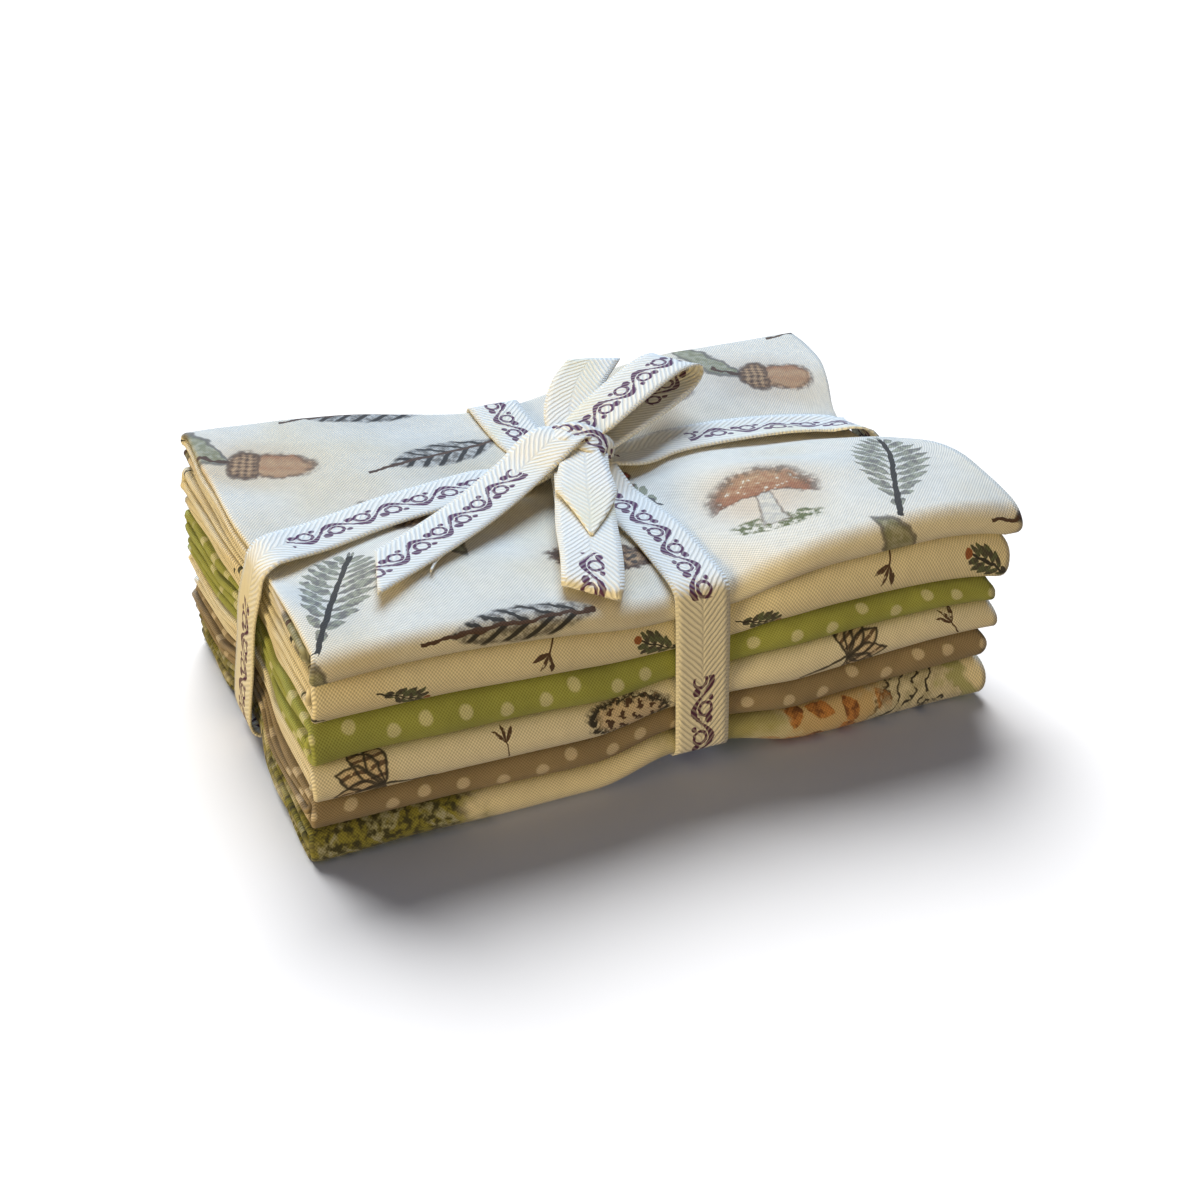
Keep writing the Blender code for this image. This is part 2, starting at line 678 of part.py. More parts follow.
def add_object(name, bm, material):
    mesh = bpy.data.meshes.new(name)
    bm.to_mesh(mesh)
    bm.free()
    mesh.materials.append(material)
    mesh.shade_smooth()
    mesh.set_sharp_from_angle(angle=radians(50))
    piece = bpy.data.objects.new(name, mesh)
    bpy.context.scene.collection.objects.link(piece)
    return piece


def build_fat_quarters():
    for index, piece in enumerate(PIECES):
        add_object(piece.name, fat_quarter_mesh(index), cotton_material(piece.name + "_cotton", piece.colour))


def clear_scene():
    for item in list(bpy.data.objects):
        bpy.data.objects.remove(item, do_unlink=True)


def main():
    clear_scene()
    build_fat_quarters()
    build_tape_tie()


main()
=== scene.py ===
"""Fat quarter bundle: six folded cuts of printed quilting cotton, tied both ways with a cotton tape.

Each cut is one thin sheet, 457 x 559 mm flat, folded in three along its length and in four along its
width. Its prints lie on the flat cut, so they follow every fold. The tape is woven in herringbone and
carries a plain scroll ornament. Sizes in the tables are millimetres.
"""
import json
from collections import namedtuple
from functools import partial
from math import ceil, cos, exp, pi, radians, sin

import bmesh
import bpy
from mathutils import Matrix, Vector, noise

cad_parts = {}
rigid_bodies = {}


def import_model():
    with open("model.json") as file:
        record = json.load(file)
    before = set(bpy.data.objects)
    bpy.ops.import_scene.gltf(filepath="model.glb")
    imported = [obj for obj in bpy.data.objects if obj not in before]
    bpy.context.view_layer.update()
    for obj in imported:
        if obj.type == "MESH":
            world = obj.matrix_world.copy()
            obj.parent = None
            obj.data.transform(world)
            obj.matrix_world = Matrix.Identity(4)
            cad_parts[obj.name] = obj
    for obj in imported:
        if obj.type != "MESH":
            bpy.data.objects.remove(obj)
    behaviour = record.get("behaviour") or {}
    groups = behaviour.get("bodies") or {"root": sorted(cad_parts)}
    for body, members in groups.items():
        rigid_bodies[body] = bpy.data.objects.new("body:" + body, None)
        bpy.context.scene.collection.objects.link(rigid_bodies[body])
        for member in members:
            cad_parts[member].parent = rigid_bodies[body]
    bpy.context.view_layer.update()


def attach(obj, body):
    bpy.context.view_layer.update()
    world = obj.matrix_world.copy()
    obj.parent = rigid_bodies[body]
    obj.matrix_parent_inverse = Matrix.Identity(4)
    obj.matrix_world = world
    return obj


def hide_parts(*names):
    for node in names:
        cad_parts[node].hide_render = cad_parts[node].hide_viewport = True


bl_info = {
    "name": "Fat Quarter Bundle",
    "version": (1, 0, 0),
    "blender": (4, 5, 0),
    "location": "3D View > Sidebar > Fat Quarters",
    "description": "Builds a tied bundle of six folded fat quarters of printed cotton",
    "category": "Object",
}

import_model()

MM = 0.001
FLAT_LAYER = "flat_cut"

# The folded pieces
CUT_LENGTH = 559.0
CUT_WIDTH = 457.0
HALF_LENGTH = CUT_LENGTH / 6
HALF_DEPTH = CUT_WIDTH / 8
PLY = 1.9
PLY_GAP = 0.42
PLY_PITCH = PLY + PLY_GAP
SLOT = 4 * PLY + 3 * PLY_GAP
PIECE_GAP = 0.3
LAYER_STEP = 0.76

# Where the middle of the whole bundle's outline lies, which is the origin
MIDDLE_X = 0.64
MIDDLE_Y = -0.43

# The stack's top, without the tape's pull
TOP_FRONT_LEFT = 56.0
TOP_FRONT_RIGHT = 60.5
TOP_BACK_LEFT = 63.6
TOP_BACK_RIGHT = 62.0

# The front right corner of the stack hangs lower than the plane through the four corners
CORNER_DROOP = 4.2
DROOP_FROM_X = 72.0
DROOP_FROM_Y = -26.0

# The top rounds down towards the front edge where the front-back band bends over it
FRONT_EDGE_DROOP = 3.0
FRONT_EDGE_FROM_Y = -34.0
FRONT_EDGE_WIDTH = 16.0

# Where the two bands of tape run: along is the place on the run, aside the band's middle there
BandPlace = namedtuple("BandPlace", "along aside")
FRONT_BACK_BAND = (
    BandPlace(-57.0, 7.0),
    BandPlace(-30.0, 7.0),
    BandPlace(-10.0, 5.0),
    BandPlace(12.0, 0.5),
    BandPlace(30.0, -5.0),
    BandPlace(57.0, -5.5),
)
LEFT_RIGHT_BAND = (
    BandPlace(-93.0, -11.0),
    BandPlace(-63.0, -0.5),
    BandPlace(-40.0, 5.5),
    BandPlace(-14.0, 11.5),
    BandPlace(10.0, 10.5),
    BandPlace(30.0, 12.5),
    BandPlace(50.0, 10.5),
    BandPlace(67.0, 7.0),
    BandPlace(85.0, 1.0),
)
UNDER_FRONT_X = 8.0
UNDER_BACK_X = -5.0
UNDER_Y = 5.0

# The tape's pull: two crossing valleys on top, a raised waist below and a pinch at each edge
VALLEY_FRONT = 6.0
VALLEY_BACK = 7.0
VALLEY_SIDE = 3.0
VALLEY_RIGHT_END = 4.0
VALLEY_RIGHT_SHIFT = 3.5
VALLEY_OVERLAP = 0.35
VALLEY_WIDTH_LEFT = 38.0
VALLEY_WIDTH_RIGHT_FRONT = 17.0
VALLEY_WIDTH_RIGHT_BACK = 28.0
VALLEY_WIDTH_SIDE = 13.0
HALF_FLAT = 5.4
WAIST_LIFT = 4.0
WAIST_FALL_X = 24.0
WAIST_FALL_Y = 20.0
PINCH_WIDTH = 12.0
PINCH_WIDTH_RIGHT_TOP = 15.0
PINCH_WIDTH_RIGHT_BACK = 24.0
PINCH_REACH = 26.0
PINCH_RIGHT_LOW = 4.0
PINCH_RIGHT_TOP = 13.0
PINCH_LEFT = 2.2
PINCH_FRONT = 2.0
PINCH_BACK = 2.0

# Soft ridges (above 0) and troughs (below 0) in the stack's top, from one end to the other
Crease = namedtuple("Crease", "x y to_x to_y lift width")
CREASE_FADE = 0.12
CREASES = (
    Crease(12.0, 4.0, 62.0, -14.0, -1.5, 5.0),
    Crease(10.0, 0.0, 50.0, -6.0, 1.0, 3.4),
    Crease(14.0, -6.0, 70.0, -30.0, 1.2, 7.0),
    Crease(16.0, 18.0, 60.0, 44.0, -1.0, 7.0),
    Crease(48.0, 24.0, 84.0, 10.0, 1.0, 6.0),
    Crease(60.0, -2.0, 92.0, -14.0, 1.1, 7.0),
    Crease(12.0, -20.0, 26.0, -52.0, 1.1, 5.0),
    Crease(-12.0, -6.0, -58.0, -44.0, -1.0, 8.0),
    Crease(-30.0, -34.0, -86.0, -30.0, 1.0, 9.0),
    Crease(-66.0, -14.0, -84.0, -34.0, -1.1, 6.0),
    Crease(-92.0, -20.0, -84.0, -48.0, 1.3, 5.0),
    Crease(-12.0, 24.0, -60.0, 34.0, 0.8, 9.0),
    Crease(-14.0, 18.0, -48.0, 14.0, -0.8, 4.0),
    Crease(-66.0, 14.0, -90.0, 26.0, -0.6, 7.0),
    Crease(22.0, -44.0, 84.0, -46.0, 0.5, 7.0),
)

Piece = namedtuple("Piece", "node slot share_left share_middle share_right left_front left_back right_front "
                   "right_back front back fan tuck")

# share_...: the height of the piece's underside as a share of the stack's height, from the bottom piece up;
# tuck: how far the inner fold lies behind the outer one
PIECES = (
    Piece("fat_quarter_mossy_leaves", "mossy_leaves_cotton",
          0.0, 0.0, 0.0, -93.6, -92.6, 91.5, 91.0, -57.0, 56.4, 0.7, 1.5),
    Piece("fat_quarter_taupe_dots", "taupe_dots_cotton",
          0.150, 0.145, 0.200, -92.2, -93.2, 90.5, 91.5, -56.3, 57.0, 0.9, 2.5),
    Piece("fat_quarter_cone_sketch", "cone_sketch_cotton",
          0.285, 0.290, 0.355, -91.2, -93.6, 93.5, 92.0, -56.8, 56.2, 1.1, 1.0),
    Piece("fat_quarter_green_dots", "green_dots_cotton",
          0.445, 0.475, 0.490, -90.4, -93.6, 92.4, 91.2, -56.2, 56.8, 1.2, 2.0),
    Piece("fat_quarter_cream_sprigs", "cream_sprigs_cotton",
          0.655, 0.648, 0.600, -89.4, -93.4, 95.4, 92.4, -56.4, 56.4, 1.0, 3.0),
    Piece("fat_quarter_top_sprigs", "top_sprigs_cotton",
          0.855, 0.845, 0.830, -89.6, -91.6, 96.4, 91.0, -57.0, 57.0, 0.8, 5.5),
)
TAPE_NODE = "tape_tie"

# How closely the folded sheet follows its fold and its length
PLY_SPACING = 3.4
LENGTH_SPACING = 2.6
HIDDEN_SPACING = 9.0
END_SPACING = 1.5
END_ZONE = 12.0
LEFT_BEND_STEPS = 8
RIGHT_BEND_STEPS = 5
OUTER_BEND_STEPS = 12
INNER_BEND_STEPS = 6
TUCKED_END = 0.985

# How far the two raw edges lie in from the back, as shares of a piece's fan
RAW_LOWER_INSET = 0.8
RAW_UPPER_INSET = 2.2

# How the folded ends are rounded off above and below
LEFT_ROUNDING = 0.7
TOP_LEFT_ROUNDING = 3.0
RIGHT_ROUNDING = 2.4

# Unevenness: how far it goes and how long its waves are in two directions; a wave along the turns of the
# fold is measured in plies
Ripple = namedtuple("Ripple", "seed amount size_u size_v")
TOP_SWELL = Ripple(1, 0.35, 34, 26)
TOP_RIPPLE = Ripple(2, 0.12, 11, 9)
LEFT_PLY_STEP = Ripple(60, 0.9, 1 / 2.3, 80)
RIGHT_PLY_STEP = Ripple(80, 0.45, 1 / 2.3, 80)
LEFT_EDGE = Ripple(10, 0.45, 19, 1 / 1.1)
RIGHT_EDGE = Ripple(20, 0.35, 19, 1 / 1.1)
RAW_EDGE = Ripple(30, 0.4, 13, 1)
FRONT_EDGE = Ripple(40, 0.55, 31, 1)
PLY_SHIFT = Ripple(50, 1.0, 34, 24)
PLY_TWIST = Ripple(90, 1.0, 26, 18)

# Where the front edge starts to be uneven, and where plies start to part more towards the ends
FRONT_UNEVEN_FROM = 42.0
FRONT_UNEVEN_RUN = 12.0
PARTED_FROM = 60.0
PARTED_RUN = 32.0
PLY_SHIFT_SHARES = (0.35, 1.0)
PLY_TWIST_SHARES = (0.15, 0.5)

# The bow: across is the heading of the tape's width in degrees, lean its tilt out of level, and the two
# halves are how far the tape reaches to either side of its middle
TapePoint = namedtuple("TapePoint", "x y z across lean left right", defaults=(0.0, 1.0, 1.0))
FRONT_LOOP = (
    TapePoint(0.0, 7.0, 60.5, -18),
    TapePoint(-4.5, -8.0, 57.4, -20),
    TapePoint(-11.0, -27.0, 55.2, -22),
    TapePoint(-16.5, -42.0, 54.6, -28, -4),
    TapePoint(-19.6, -50.0, 54.6, -34, -9),
    TapePoint(-20.8, -52.6, 56.0, -38, -12),
    TapePoint(-19.6, -50.4, 57.6, -36, -9, 1.04, 1.04),
    TapePoint(-15.9, -41.0, 58.9, -27, -4, 1.06, 1.04),
    TapePoint(-10.8, -26.0, 59.6, -21, 0, 1.08, 1.02),
    TapePoint(-4.6, -9.0, 60.8, -14),
    TapePoint(0.0, 4.0, 62.4, -8),
)
FRONT_FOLD = (
    TapePoint(1.5, 3.5, 64.4, -24, 0, 0.50, 0.42),
    TapePoint(-1.0, -2.0, 63.7, -23, 0, 0.86, 0.66),
    TapePoint(-3.6, -9.0, 62.8, -22, 0, 1.06, 0.88),
    TapePoint(-5.2, -13.2, 62.3, -21, 0, 1.14, 0.98),
    TapePoint(-5.6, -14.4, 62.1, -21, 0, 1.13, 1.00),
    TapePoint(-6.0, -15.6, 61.9, -21, 0, 1.04, 1.00),
    TapePoint(-6.6, -17.4, 61.7, -21, 0, 0.92, 0.96),
    TapePoint(-8.2, -22.0, 61.2, -21, 0, 0.66, 0.74),
    TapePoint(-10.4, -27.5, 60.6, -21, 0, 0.35, 0.42),
    TapePoint(-12.8, -33.2, 60.0, -21, 0, 0.03, 0.08),
)
BACK_LOOP = (
    TapePoint(1.0, 10.0, 64.8, -56, 0, 0.70, 0.70),
    TapePoint(6.5, 12.6, 66.8, -60, 0, 0.90, 0.95),
    TapePoint(14.0, 16.4, 69.0, -62),
    TapePoint(25.0, 22.4, 71.6, -62),
    TapePoint(34.0, 27.4, 72.8, -60),
    TapePoint(39.4, 29.8, 71.9, -58),
    TapePoint(41.0, 30.0, 69.6, -58),
    TapePoint(38.0, 27.4, 67.4, -58),
    TapePoint(29.5, 22.0, 65.6, -60),
    TapePoint(17.0, 15.2, 64.0, -60),
    TapePoint(4.0, 9.5, 62.0, -60),
)
LEFT_TAIL = (
    TapePoint(3.5, 9.0, 64.2, -48, 0, 0.60, 0.60),
    TapePoint(-0.5, 9.0, 66.0, -50, 0, 0.85, 0.80),
    TapePoint(-5.5, 7.8, 66.0, -54, 0, 1.05, 0.96),
    TapePoint(-10.5, 5.8, 64.2, -56, 0, 1.10, 1.00),
    TapePoint(-17.0, 2.6, 61.8, -55, 0, 1.02, 1.00),
    TapePoint(-32.5, -8.6, 60.2, -53),
    TapePoint(-49.0, -20.4, 60.3, -53),
    TapePoint(-67.0, -31.8, 60.8, -60),
)
BACK_TAIL = (
    TapePoint(0.5, 9.0, 63.6, -34, 0, 0.60, 0.60),
    TapePoint(2.0, 15.0, 65.2, -28, 0, 0.88, 0.88),
    TapePoint(4.8, 22.0, 67.0, -20, 0, 0.96, 0.96),
    TapePoint(10.6, 31.0, 69.8, -14, 0, 0.92, 1.0),
    TapePoint(18.4, 39.8, 72.0, 6, 0, 0.76, 1.0),
)
LOOSE_THREAD = (
    TapePoint(-44.0, -21.0, 59.6, -50, 0, 0.04, 0.04),
    TapePoint(-48.0, -26.6, 59.6, -50, 0, 0.04, 0.04),
    TapePoint(-51.6, -30.4, 59.8, -44, 0, 0.04, 0.04),
    TapePoint(-54.4, -34.2, 59.4, -48, 0, 0.03, 0.03),
)
KNOT_WRAP = (
    TapePoint(-8.6, 13.6, 59.5, 38, 0, 0.60, 0.55),
    TapePoint(-8.8, 14.0, 62.8, 38, 0, 0.58, 0.52),
    TapePoint(-6.4, 13.2, 65.2, 38, 8, 0.60, 0.50),
    TapePoint(-1.2, 9.4, 66.8, 38, 16, 0.66, 0.50),
    TapePoint(3.6, 5.2, 66.0, 38, 14, 0.72, 0.52),
    TapePoint(6.6, 2.4, 63.6, 38, 0, 0.74, 0.56),
    TapePoint(6.6, 2.2, 60.0, 38, 0, 0.74, 0.56),
)
KNOT_MIDDLE = (-1.0, 9.0, 62.0)
KNOT_RADII = (7.8, 6.8, 5.0)
KNOT_CRUMPLE = 0.10
KNOT_SEGMENTS = 40
KNOT_RINGS = 24
KNOT_FRONT = TapePoint(2.0, 7.0, 59.6, 0)
KNOT_BACK = TapePoint(-0.5, 13.0, 59.6, 0)
KNOT_LEFT = TapePoint(-3.0, 11.0, 59.6, 90)
KNOT_RIGHT = TapePoint(4.0, 10.5, 59.6, 90)

# How the left-right band goes down each end of the stack
EndPoint = namedtuple("EndPoint", "x y z")
LEFT_END_RUN = (
    EndPoint(-84.0, -7.8, 59.0),
    EndPoint(-88.0, -9.0, 58.4),
    EndPoint(-90.4, -9.4, 56.4),
    EndPoint(-91.4, -9.0, 52.5),
    EndPoint(-93.0, -6.0, 42.0),
    EndPoint(-93.6, -1.5, 27.0),
    EndPoint(-94.2, 3.5, 12.0),
    EndPoint(-94.1, 5.0, 6.2),
    EndPoint(-92.8, 5.0, 3.1),
    EndPoint(-88.5, 5.0, 2.5),
)
RIGHT_END_RUN = (
    EndPoint(84.0, 5.0, 2.5),
    EndPoint(88.6, 5.0, 3.1),
    EndPoint(89.9, 5.0, 6.4),
    EndPoint(89.2, 4.6, 14.0),
    EndPoint(87.6, 3.4, 28.0),
    EndPoint(85.8, 2.0, 42.0),
    EndPoint(84.7, 1.2, 51.0),
    EndPoint(82.9, 1.0, 55.4),
    EndPoint(79.0, 1.8, 57.4),
)

# The band leans on the right of the stack: fully on the end's upper part, less and less towards the knot
RIGHT_ARM_LEAN = 14.0
LEAN_FROM_Z = 42.0
LEAN_RISE = 13.0
LEAN_FROM_X = 20.0
LEAN_RUN = 52.0

# Where the bands are laid: places on the stack, under it and on its long sides, and angles round their edges
TOP_FRONT_STATIONS = (-6.0, -16.0, -28.0, -42.0)
TOP_BACK_STATIONS = (44.0, 33.0, 23.0)
TOP_LEFT_STATIONS = (-15.0, -26.0, -40.0, -56.0, -72.0)
TOP_RIGHT_STATIONS = (72.0, 60.0, 45.0, 30.0, 18.0)
UNDER_DEPTH_STATIONS = (-38.0, -18.0, 5.0, 26.0, 42.0)
UNDER_LENGTH_STATIONS = (-70.0, -45.0, -20.0, 6.0, 30.0, 55.0, 75.0)
FRONT_FACE_HEIGHTS = (40.0, 25.0, 12.0)
BACK_FACE_HEIGHTS = (18.0, 34.0)
BACK_FACE_TOP_DROP = 8.0
TOP_FRONT_ANGLES = (95, 125, 155)
LOW_FRONT_ANGLES = (205, 235, 265)
TOP_BACK_ANGLES = (20, 50, 80)
LOW_BACK_CORNER = ((5.5, 0.0), (1.7, 0.1), (0.1, 2.2))

TAPE_WIDTH = 14.5
TAPE_THICKNESS = 0.55
TAPE_CLEARANCE = 0.25
TAPE_STAND_OFF = TAPE_CLEARANCE + 0.5 * TAPE_THICKNESS
FOLD_RADIUS = 1.5 * PLY_PITCH + 0.5 * PLY
BACK_FOLD_RADIUS = 0.5 * PLY_PITCH + 0.5 * PLY
LOW_CORNER_RISE = 4.6
TAPE_COLUMNS = 8
TAPE_SPACING = 2.0

# The level part of the stack, over which tape is kept clear of the cloth
LEVEL_LEFT = -86.0
LEVEL_RIGHT = 78.0
LEVEL_FRONT = -49.0
LEVEL_BACK = 52.0
LEVEL_ABOVE = 48.0

# One run of tape. Its ornament starts print_from into the repeat, and far below 0 it has none; a run that
# clears is kept above the cloth; a tail is cut aslant, its last stretch sheared by cut at each edge
Run = namedtuple("Run", "points print_from clears cut")
CUT_REACH = 22.0
UNPRINTED = -500.0


def mix(low, high, t):
    return low + (high - low) * t


def clamp01(t):
    return min(max(t, 0.0), 1.0)


def bell(offset, width):
    return exp(-(offset / width) ** 2)


def wave(seed, u, v=0.0):
    """Smooth unevenness between about -1 and 1 at a place, different for each seed."""
    return 1.6 * noise.noise(Vector((u, v, 7.3 * seed)))


def ripple(kind, index, u, v=0.0):
    """One kind of unevenness of one piece, in millimetres."""
    return kind.amount * wave(kind.seed + index, u / kind.size_u, v / kind.size_v)


def beside_tape(offset):
    return max(0.0, abs(offset) - HALF_FLAT)


def plateau(offset, width):
    """1 across the tape's own width, falling away on both sides."""
    return bell(beside_tape(offset), width)


def hump(offset, half_width):
    ratio = offset / half_width
    return (1 - ratio * ratio) ** 2 if abs(ratio) < 1 else 0.0


def length_share(x):
    return clamp01((x + HALF_LENGTH) / (2 * HALF_LENGTH))


def depth_share(y):
    return clamp01((y + HALF_DEPTH) / (2 * HALF_DEPTH))


def band_middle(places, along):
    """The band's middle at one place on its run, on a smooth curve through its table."""
    last = len(places) - 1
    if along <= places[0].along:
        return places[0].aside
    if along >= places[last].along:
        return places[last].aside
    index = max(i for i in range(last) if places[i].along <= along)

    def slope(i):
        low = places[max(i - 1, 0)]
        high = places[min(i + 1, last)]
        return (high.aside - low.aside) / (high.along - low.along)

    start = places[index]
    end = places[index + 1]
    span = end.along - start.along
    t = (along - start.along) / span
    rise = t * t * (3 - 2 * t)
    lead_in = t * (1 - t) ** 2 * span * slope(index)
    lead_out = t * t * (1 - t) * span * slope(index + 1)
    return mix(start.aside, end.aside, rise) + lead_in - lead_out


def crease_lift(crease, x, y):
    """How far one crease lifts or sinks the cloth at a place; it fades out towards its own ends."""
    run_x = crease.to_x - crease.x
    run_y = crease.to_y - crease.y
    t = clamp01(((x - crease.x) * run_x + (y - crease.y) * run_y) / (run_x ** 2 + run_y ** 2))
    distance = ((x - crease.x - t * run_x) ** 2 + (y - crease.y - t * run_y) ** 2) ** 0.5
    return crease.lift * bell(distance, crease.width) * sin(pi * mix(CREASE_FADE, 1 - CREASE_FADE, t))


def unevenness(x, y):
    """The fine shape of the stack's top: its creases and the cloth's slight ripple."""
    lift = sum(crease_lift(crease, x, y) for crease in CREASES)
    return lift + ripple(TOP_SWELL, 0, x, y) + ripple(TOP_RIPPLE, 0, x, y)


def corner_droop(x, y):
    along = clamp01((x - DROOP_FROM_X) / (HALF_LENGTH - DROOP_FROM_X))
    across = clamp01((y - DROOP_FROM_Y) / (-HALF_DEPTH - DROOP_FROM_Y))
    return CORNER_DROOP * (along * across) ** 2


def front_edge_droop(x, y):
    share = clamp01((y - FRONT_EDGE_FROM_Y) / (-HALF_DEPTH - FRONT_EDGE_FROM_Y))
    return FRONT_EDGE_DROOP * share ** 2 * plateau(x - FRONT_BACK_BAND[0].aside, FRONT_EDGE_WIDTH)


def top_height(x, y):
    """Height of the stack's top: four corner heights, less the valleys that the tape presses in."""
    u = length_share(x)
    v = depth_share(y)
    corners = mix(mix(TOP_FRONT_LEFT, TOP_FRONT_RIGHT, u), mix(TOP_BACK_LEFT, TOP_BACK_RIGHT, u), v)
    from_front_back = x - band_middle(FRONT_BACK_BAND, y)
    right_half = max(0.0, 2 * u - 1)
    from_left_right = y - band_middle(LEFT_RIGHT_BAND, x) - VALLEY_RIGHT_SHIFT * right_half ** 2
    right_width = mix(VALLEY_WIDTH_RIGHT_FRONT, VALLEY_WIDTH_RIGHT_BACK, v)
    width = VALLEY_WIDTH_LEFT if from_front_back < 0 else right_width
    front_to_back = mix(VALLEY_FRONT, VALLEY_BACK, v) * plateau(from_front_back, width)
    side_depth = VALLEY_SIDE + VALLEY_RIGHT_END * right_half
    side_to_side = side_depth * plateau(from_left_right, VALLEY_WIDTH_SIDE)
    deeper = max(front_to_back, side_to_side)
    shallower = min(front_to_back, side_to_side)
    droop = corner_droop(x, y) + front_edge_droop(x, y)
    return corners - deeper - VALLEY_OVERLAP * shallower - droop + unevenness(x, y)


def waist(x, y):
    """Height of the stack's underside: flat on the table, raised where the tape passes under it."""
    along = hump(beside_tape(x - mix(UNDER_FRONT_X, UNDER_BACK_X, depth_share(y))), WAIST_FALL_X)
    across = hump(beside_tape(y - UNDER_Y), WAIST_FALL_Y)
    return WAIST_LIFT * (along + across - along * across)


def edge_pull(distance_in):
    """1 on the outline, falling to 0 over the pinch's reach."""
    t = clamp01(1 - distance_in / PINCH_REACH)
    return t * t


def side_band_y(end_y, rise):
    """The band slants on the stack's ends: at end_y on top and at UNDER_Y on the table."""
    return mix(UNDER_Y, end_y, rise)


def pinched(x, y, rise):
    """Moves a point in from each edge where a band of tape crosses it; rise is 0 low to 1 on top."""
    right_y = side_band_y(LEFT_RIGHT_BAND[-1].aside, rise)
    left_y = side_band_y(LEFT_RIGHT_BAND[0].aside, rise)
    right_pull = mix(PINCH_RIGHT_LOW, PINCH_RIGHT_TOP, rise)
    top_width = PINCH_WIDTH_RIGHT_BACK if y > right_y else PINCH_WIDTH_RIGHT_TOP
    right_width = mix(PINCH_WIDTH, top_width, rise)
    right = right_pull * plateau(y - right_y, right_width) * edge_pull(HALF_LENGTH - x)
    left = PINCH_LEFT * plateau(y - left_y, PINCH_WIDTH) * edge_pull(x + HALF_LENGTH)
    front = PINCH_FRONT * plateau(x - FRONT_BACK_BAND[0].aside, PINCH_WIDTH) * edge_pull(y + HALF_DEPTH)
    back = PINCH_BACK * plateau(x - FRONT_BACK_BAND[-1].aside, PINCH_WIDTH) * edge_pull(HALF_DEPTH - y)
    return x - right + left, y + front - back


def share_at(left, middle, right, u):
    """A smooth curve through a share at the stack's left, middle and right."""
    bow = middle - 0.5 * (left + right)
    return mix(left, right, u) + 4 * bow * u * (1 - u)


def slot_heights(index, base, height, u):
    """Heights of the bottom and top of one piece's place in the stack."""
    piece = PIECES[index]
    low = base + height * share_at(piece.share_left, piece.share_middle, piece.share_right, u)
    if index > 0:
        low += PIECE_GAP / 2
    if index + 1 == len(PIECES):
        return low, base + height
    above = PIECES[index + 1]
    high = base + height * share_at(above.share_left, above.share_middle, above.share_right, u)
    return low, high - PIECE_GAP / 2


def to_frame(x, y, z):
    return Vector(((x - MIDDLE_X) * MM, (y - MIDDLE_Y) * MM, z * MM))


# The folded sheet

# A place on the fold in four: where its middle layer runs, which way it faces, which ply it belongs to
# (turn counts 0 to 3 through the plies) and how far along the flat cut it lies
FoldPoint = namedtuple("FoldPoint", "y z normal_y normal_z turn along")
# A place on the fold in three: share runs 0 to 1 from left to right, layer is 1, 0 or -1 from the outer
# layer in, bulge is how far a fold swings past the end, and along how far along the flat cut it lies
LayerPoint = namedtuple("LayerPoint", "share layer bulge along")


def spread(start, end, spacing):
    """Even places from start to end, without the end."""
    count = max(1, ceil(abs(end - start) / spacing))
    return [mix(start, end, step / count) for step in range(count)]


def fold_points(piece):
    """The fold in four, from the lower raw edge at the back round to the upper one."""
    outer = 1.5 * PLY_PITCH
    inner = 0.5 * PLY_PITCH
    levels = [PLY / 2 + PLY_PITCH * level for level in range(4)]
    front_centre = piece.front + outer + PLY / 2
    back_centre = piece.back - inner - PLY / 2
    raw_lower = piece.back - RAW_LOWER_INSET * piece.fan
    raw_upper = piece.back - RAW_UPPER_INSET * piece.fan
    points = []

    def ply(start, end, level, normal, turn):
        for y in spread(start, end, PLY_SPACING):
            points.append((y, levels[level], 0.0, normal, turn))

    def bend(centre_y, centre_z, radius, start, end, steps, side, turn):
        for step in range(steps):
            t = step / steps
            angle = radians(mix(start, end, t))
            points.append((centre_y + radius * cos(angle), centre_z + radius * sin(angle),
                           side * cos(angle), side * sin(angle), turn + t))

    ply(raw_lower, front_centre, 0, -1.0, 0.0)
    bend(front_centre, SLOT / 2, outer, -90, -270, OUTER_BEND_STEPS, 1, 0.0)
    ply(front_centre, back_centre, 3, 1.0, 1.0)
    bend(back_centre, 0.5 * (levels[2] + levels[3]), inner, 90, -90, INNER_BEND_STEPS, 1, 1.0)
    tucked_centre = front_centre + piece.tuck
    ply(back_centre, tucked_centre, 2, -1.0, 2.0)
    bend(tucked_centre, SLOT / 2, inner, 90, 270, INNER_BEND_STEPS, -1, 2.0)
    ply(tucked_centre, raw_upper, 1, 1.0, 3.0)
    points.append((raw_upper, levels[1], 0.0, 1.0, 3.0))

    outer_side = [(y + LAYER_STEP * normal_y, z + LAYER_STEP * normal_z)
                  for y, z, normal_y, normal_z, _ in points]
    lengths = [0.0]
    for low, high in zip(outer_side, outer_side[1:]):
        lengths.append(lengths[-1] + ((high[0] - low[0]) ** 2 + (high[1] - low[1]) ** 2) ** 0.5)
    stretch = CUT_WIDTH / lengths[-1]
    return [FoldPoint(*point, along * stretch) for point, along in zip(points, lengths)]


def panel_shares(spacing):
    """Places across one panel of the fold in three, closer at its two ends."""
    end = END_ZONE / (2 * HALF_LENGTH)
    close = END_SPACING / (2 * HALF_LENGTH)
    wide = spacing / (2 * HALF_LENGTH)
    return spread(0.0, end, close) + spread(end, 1 - end, wide) + spread(1 - end, 1.0, close)


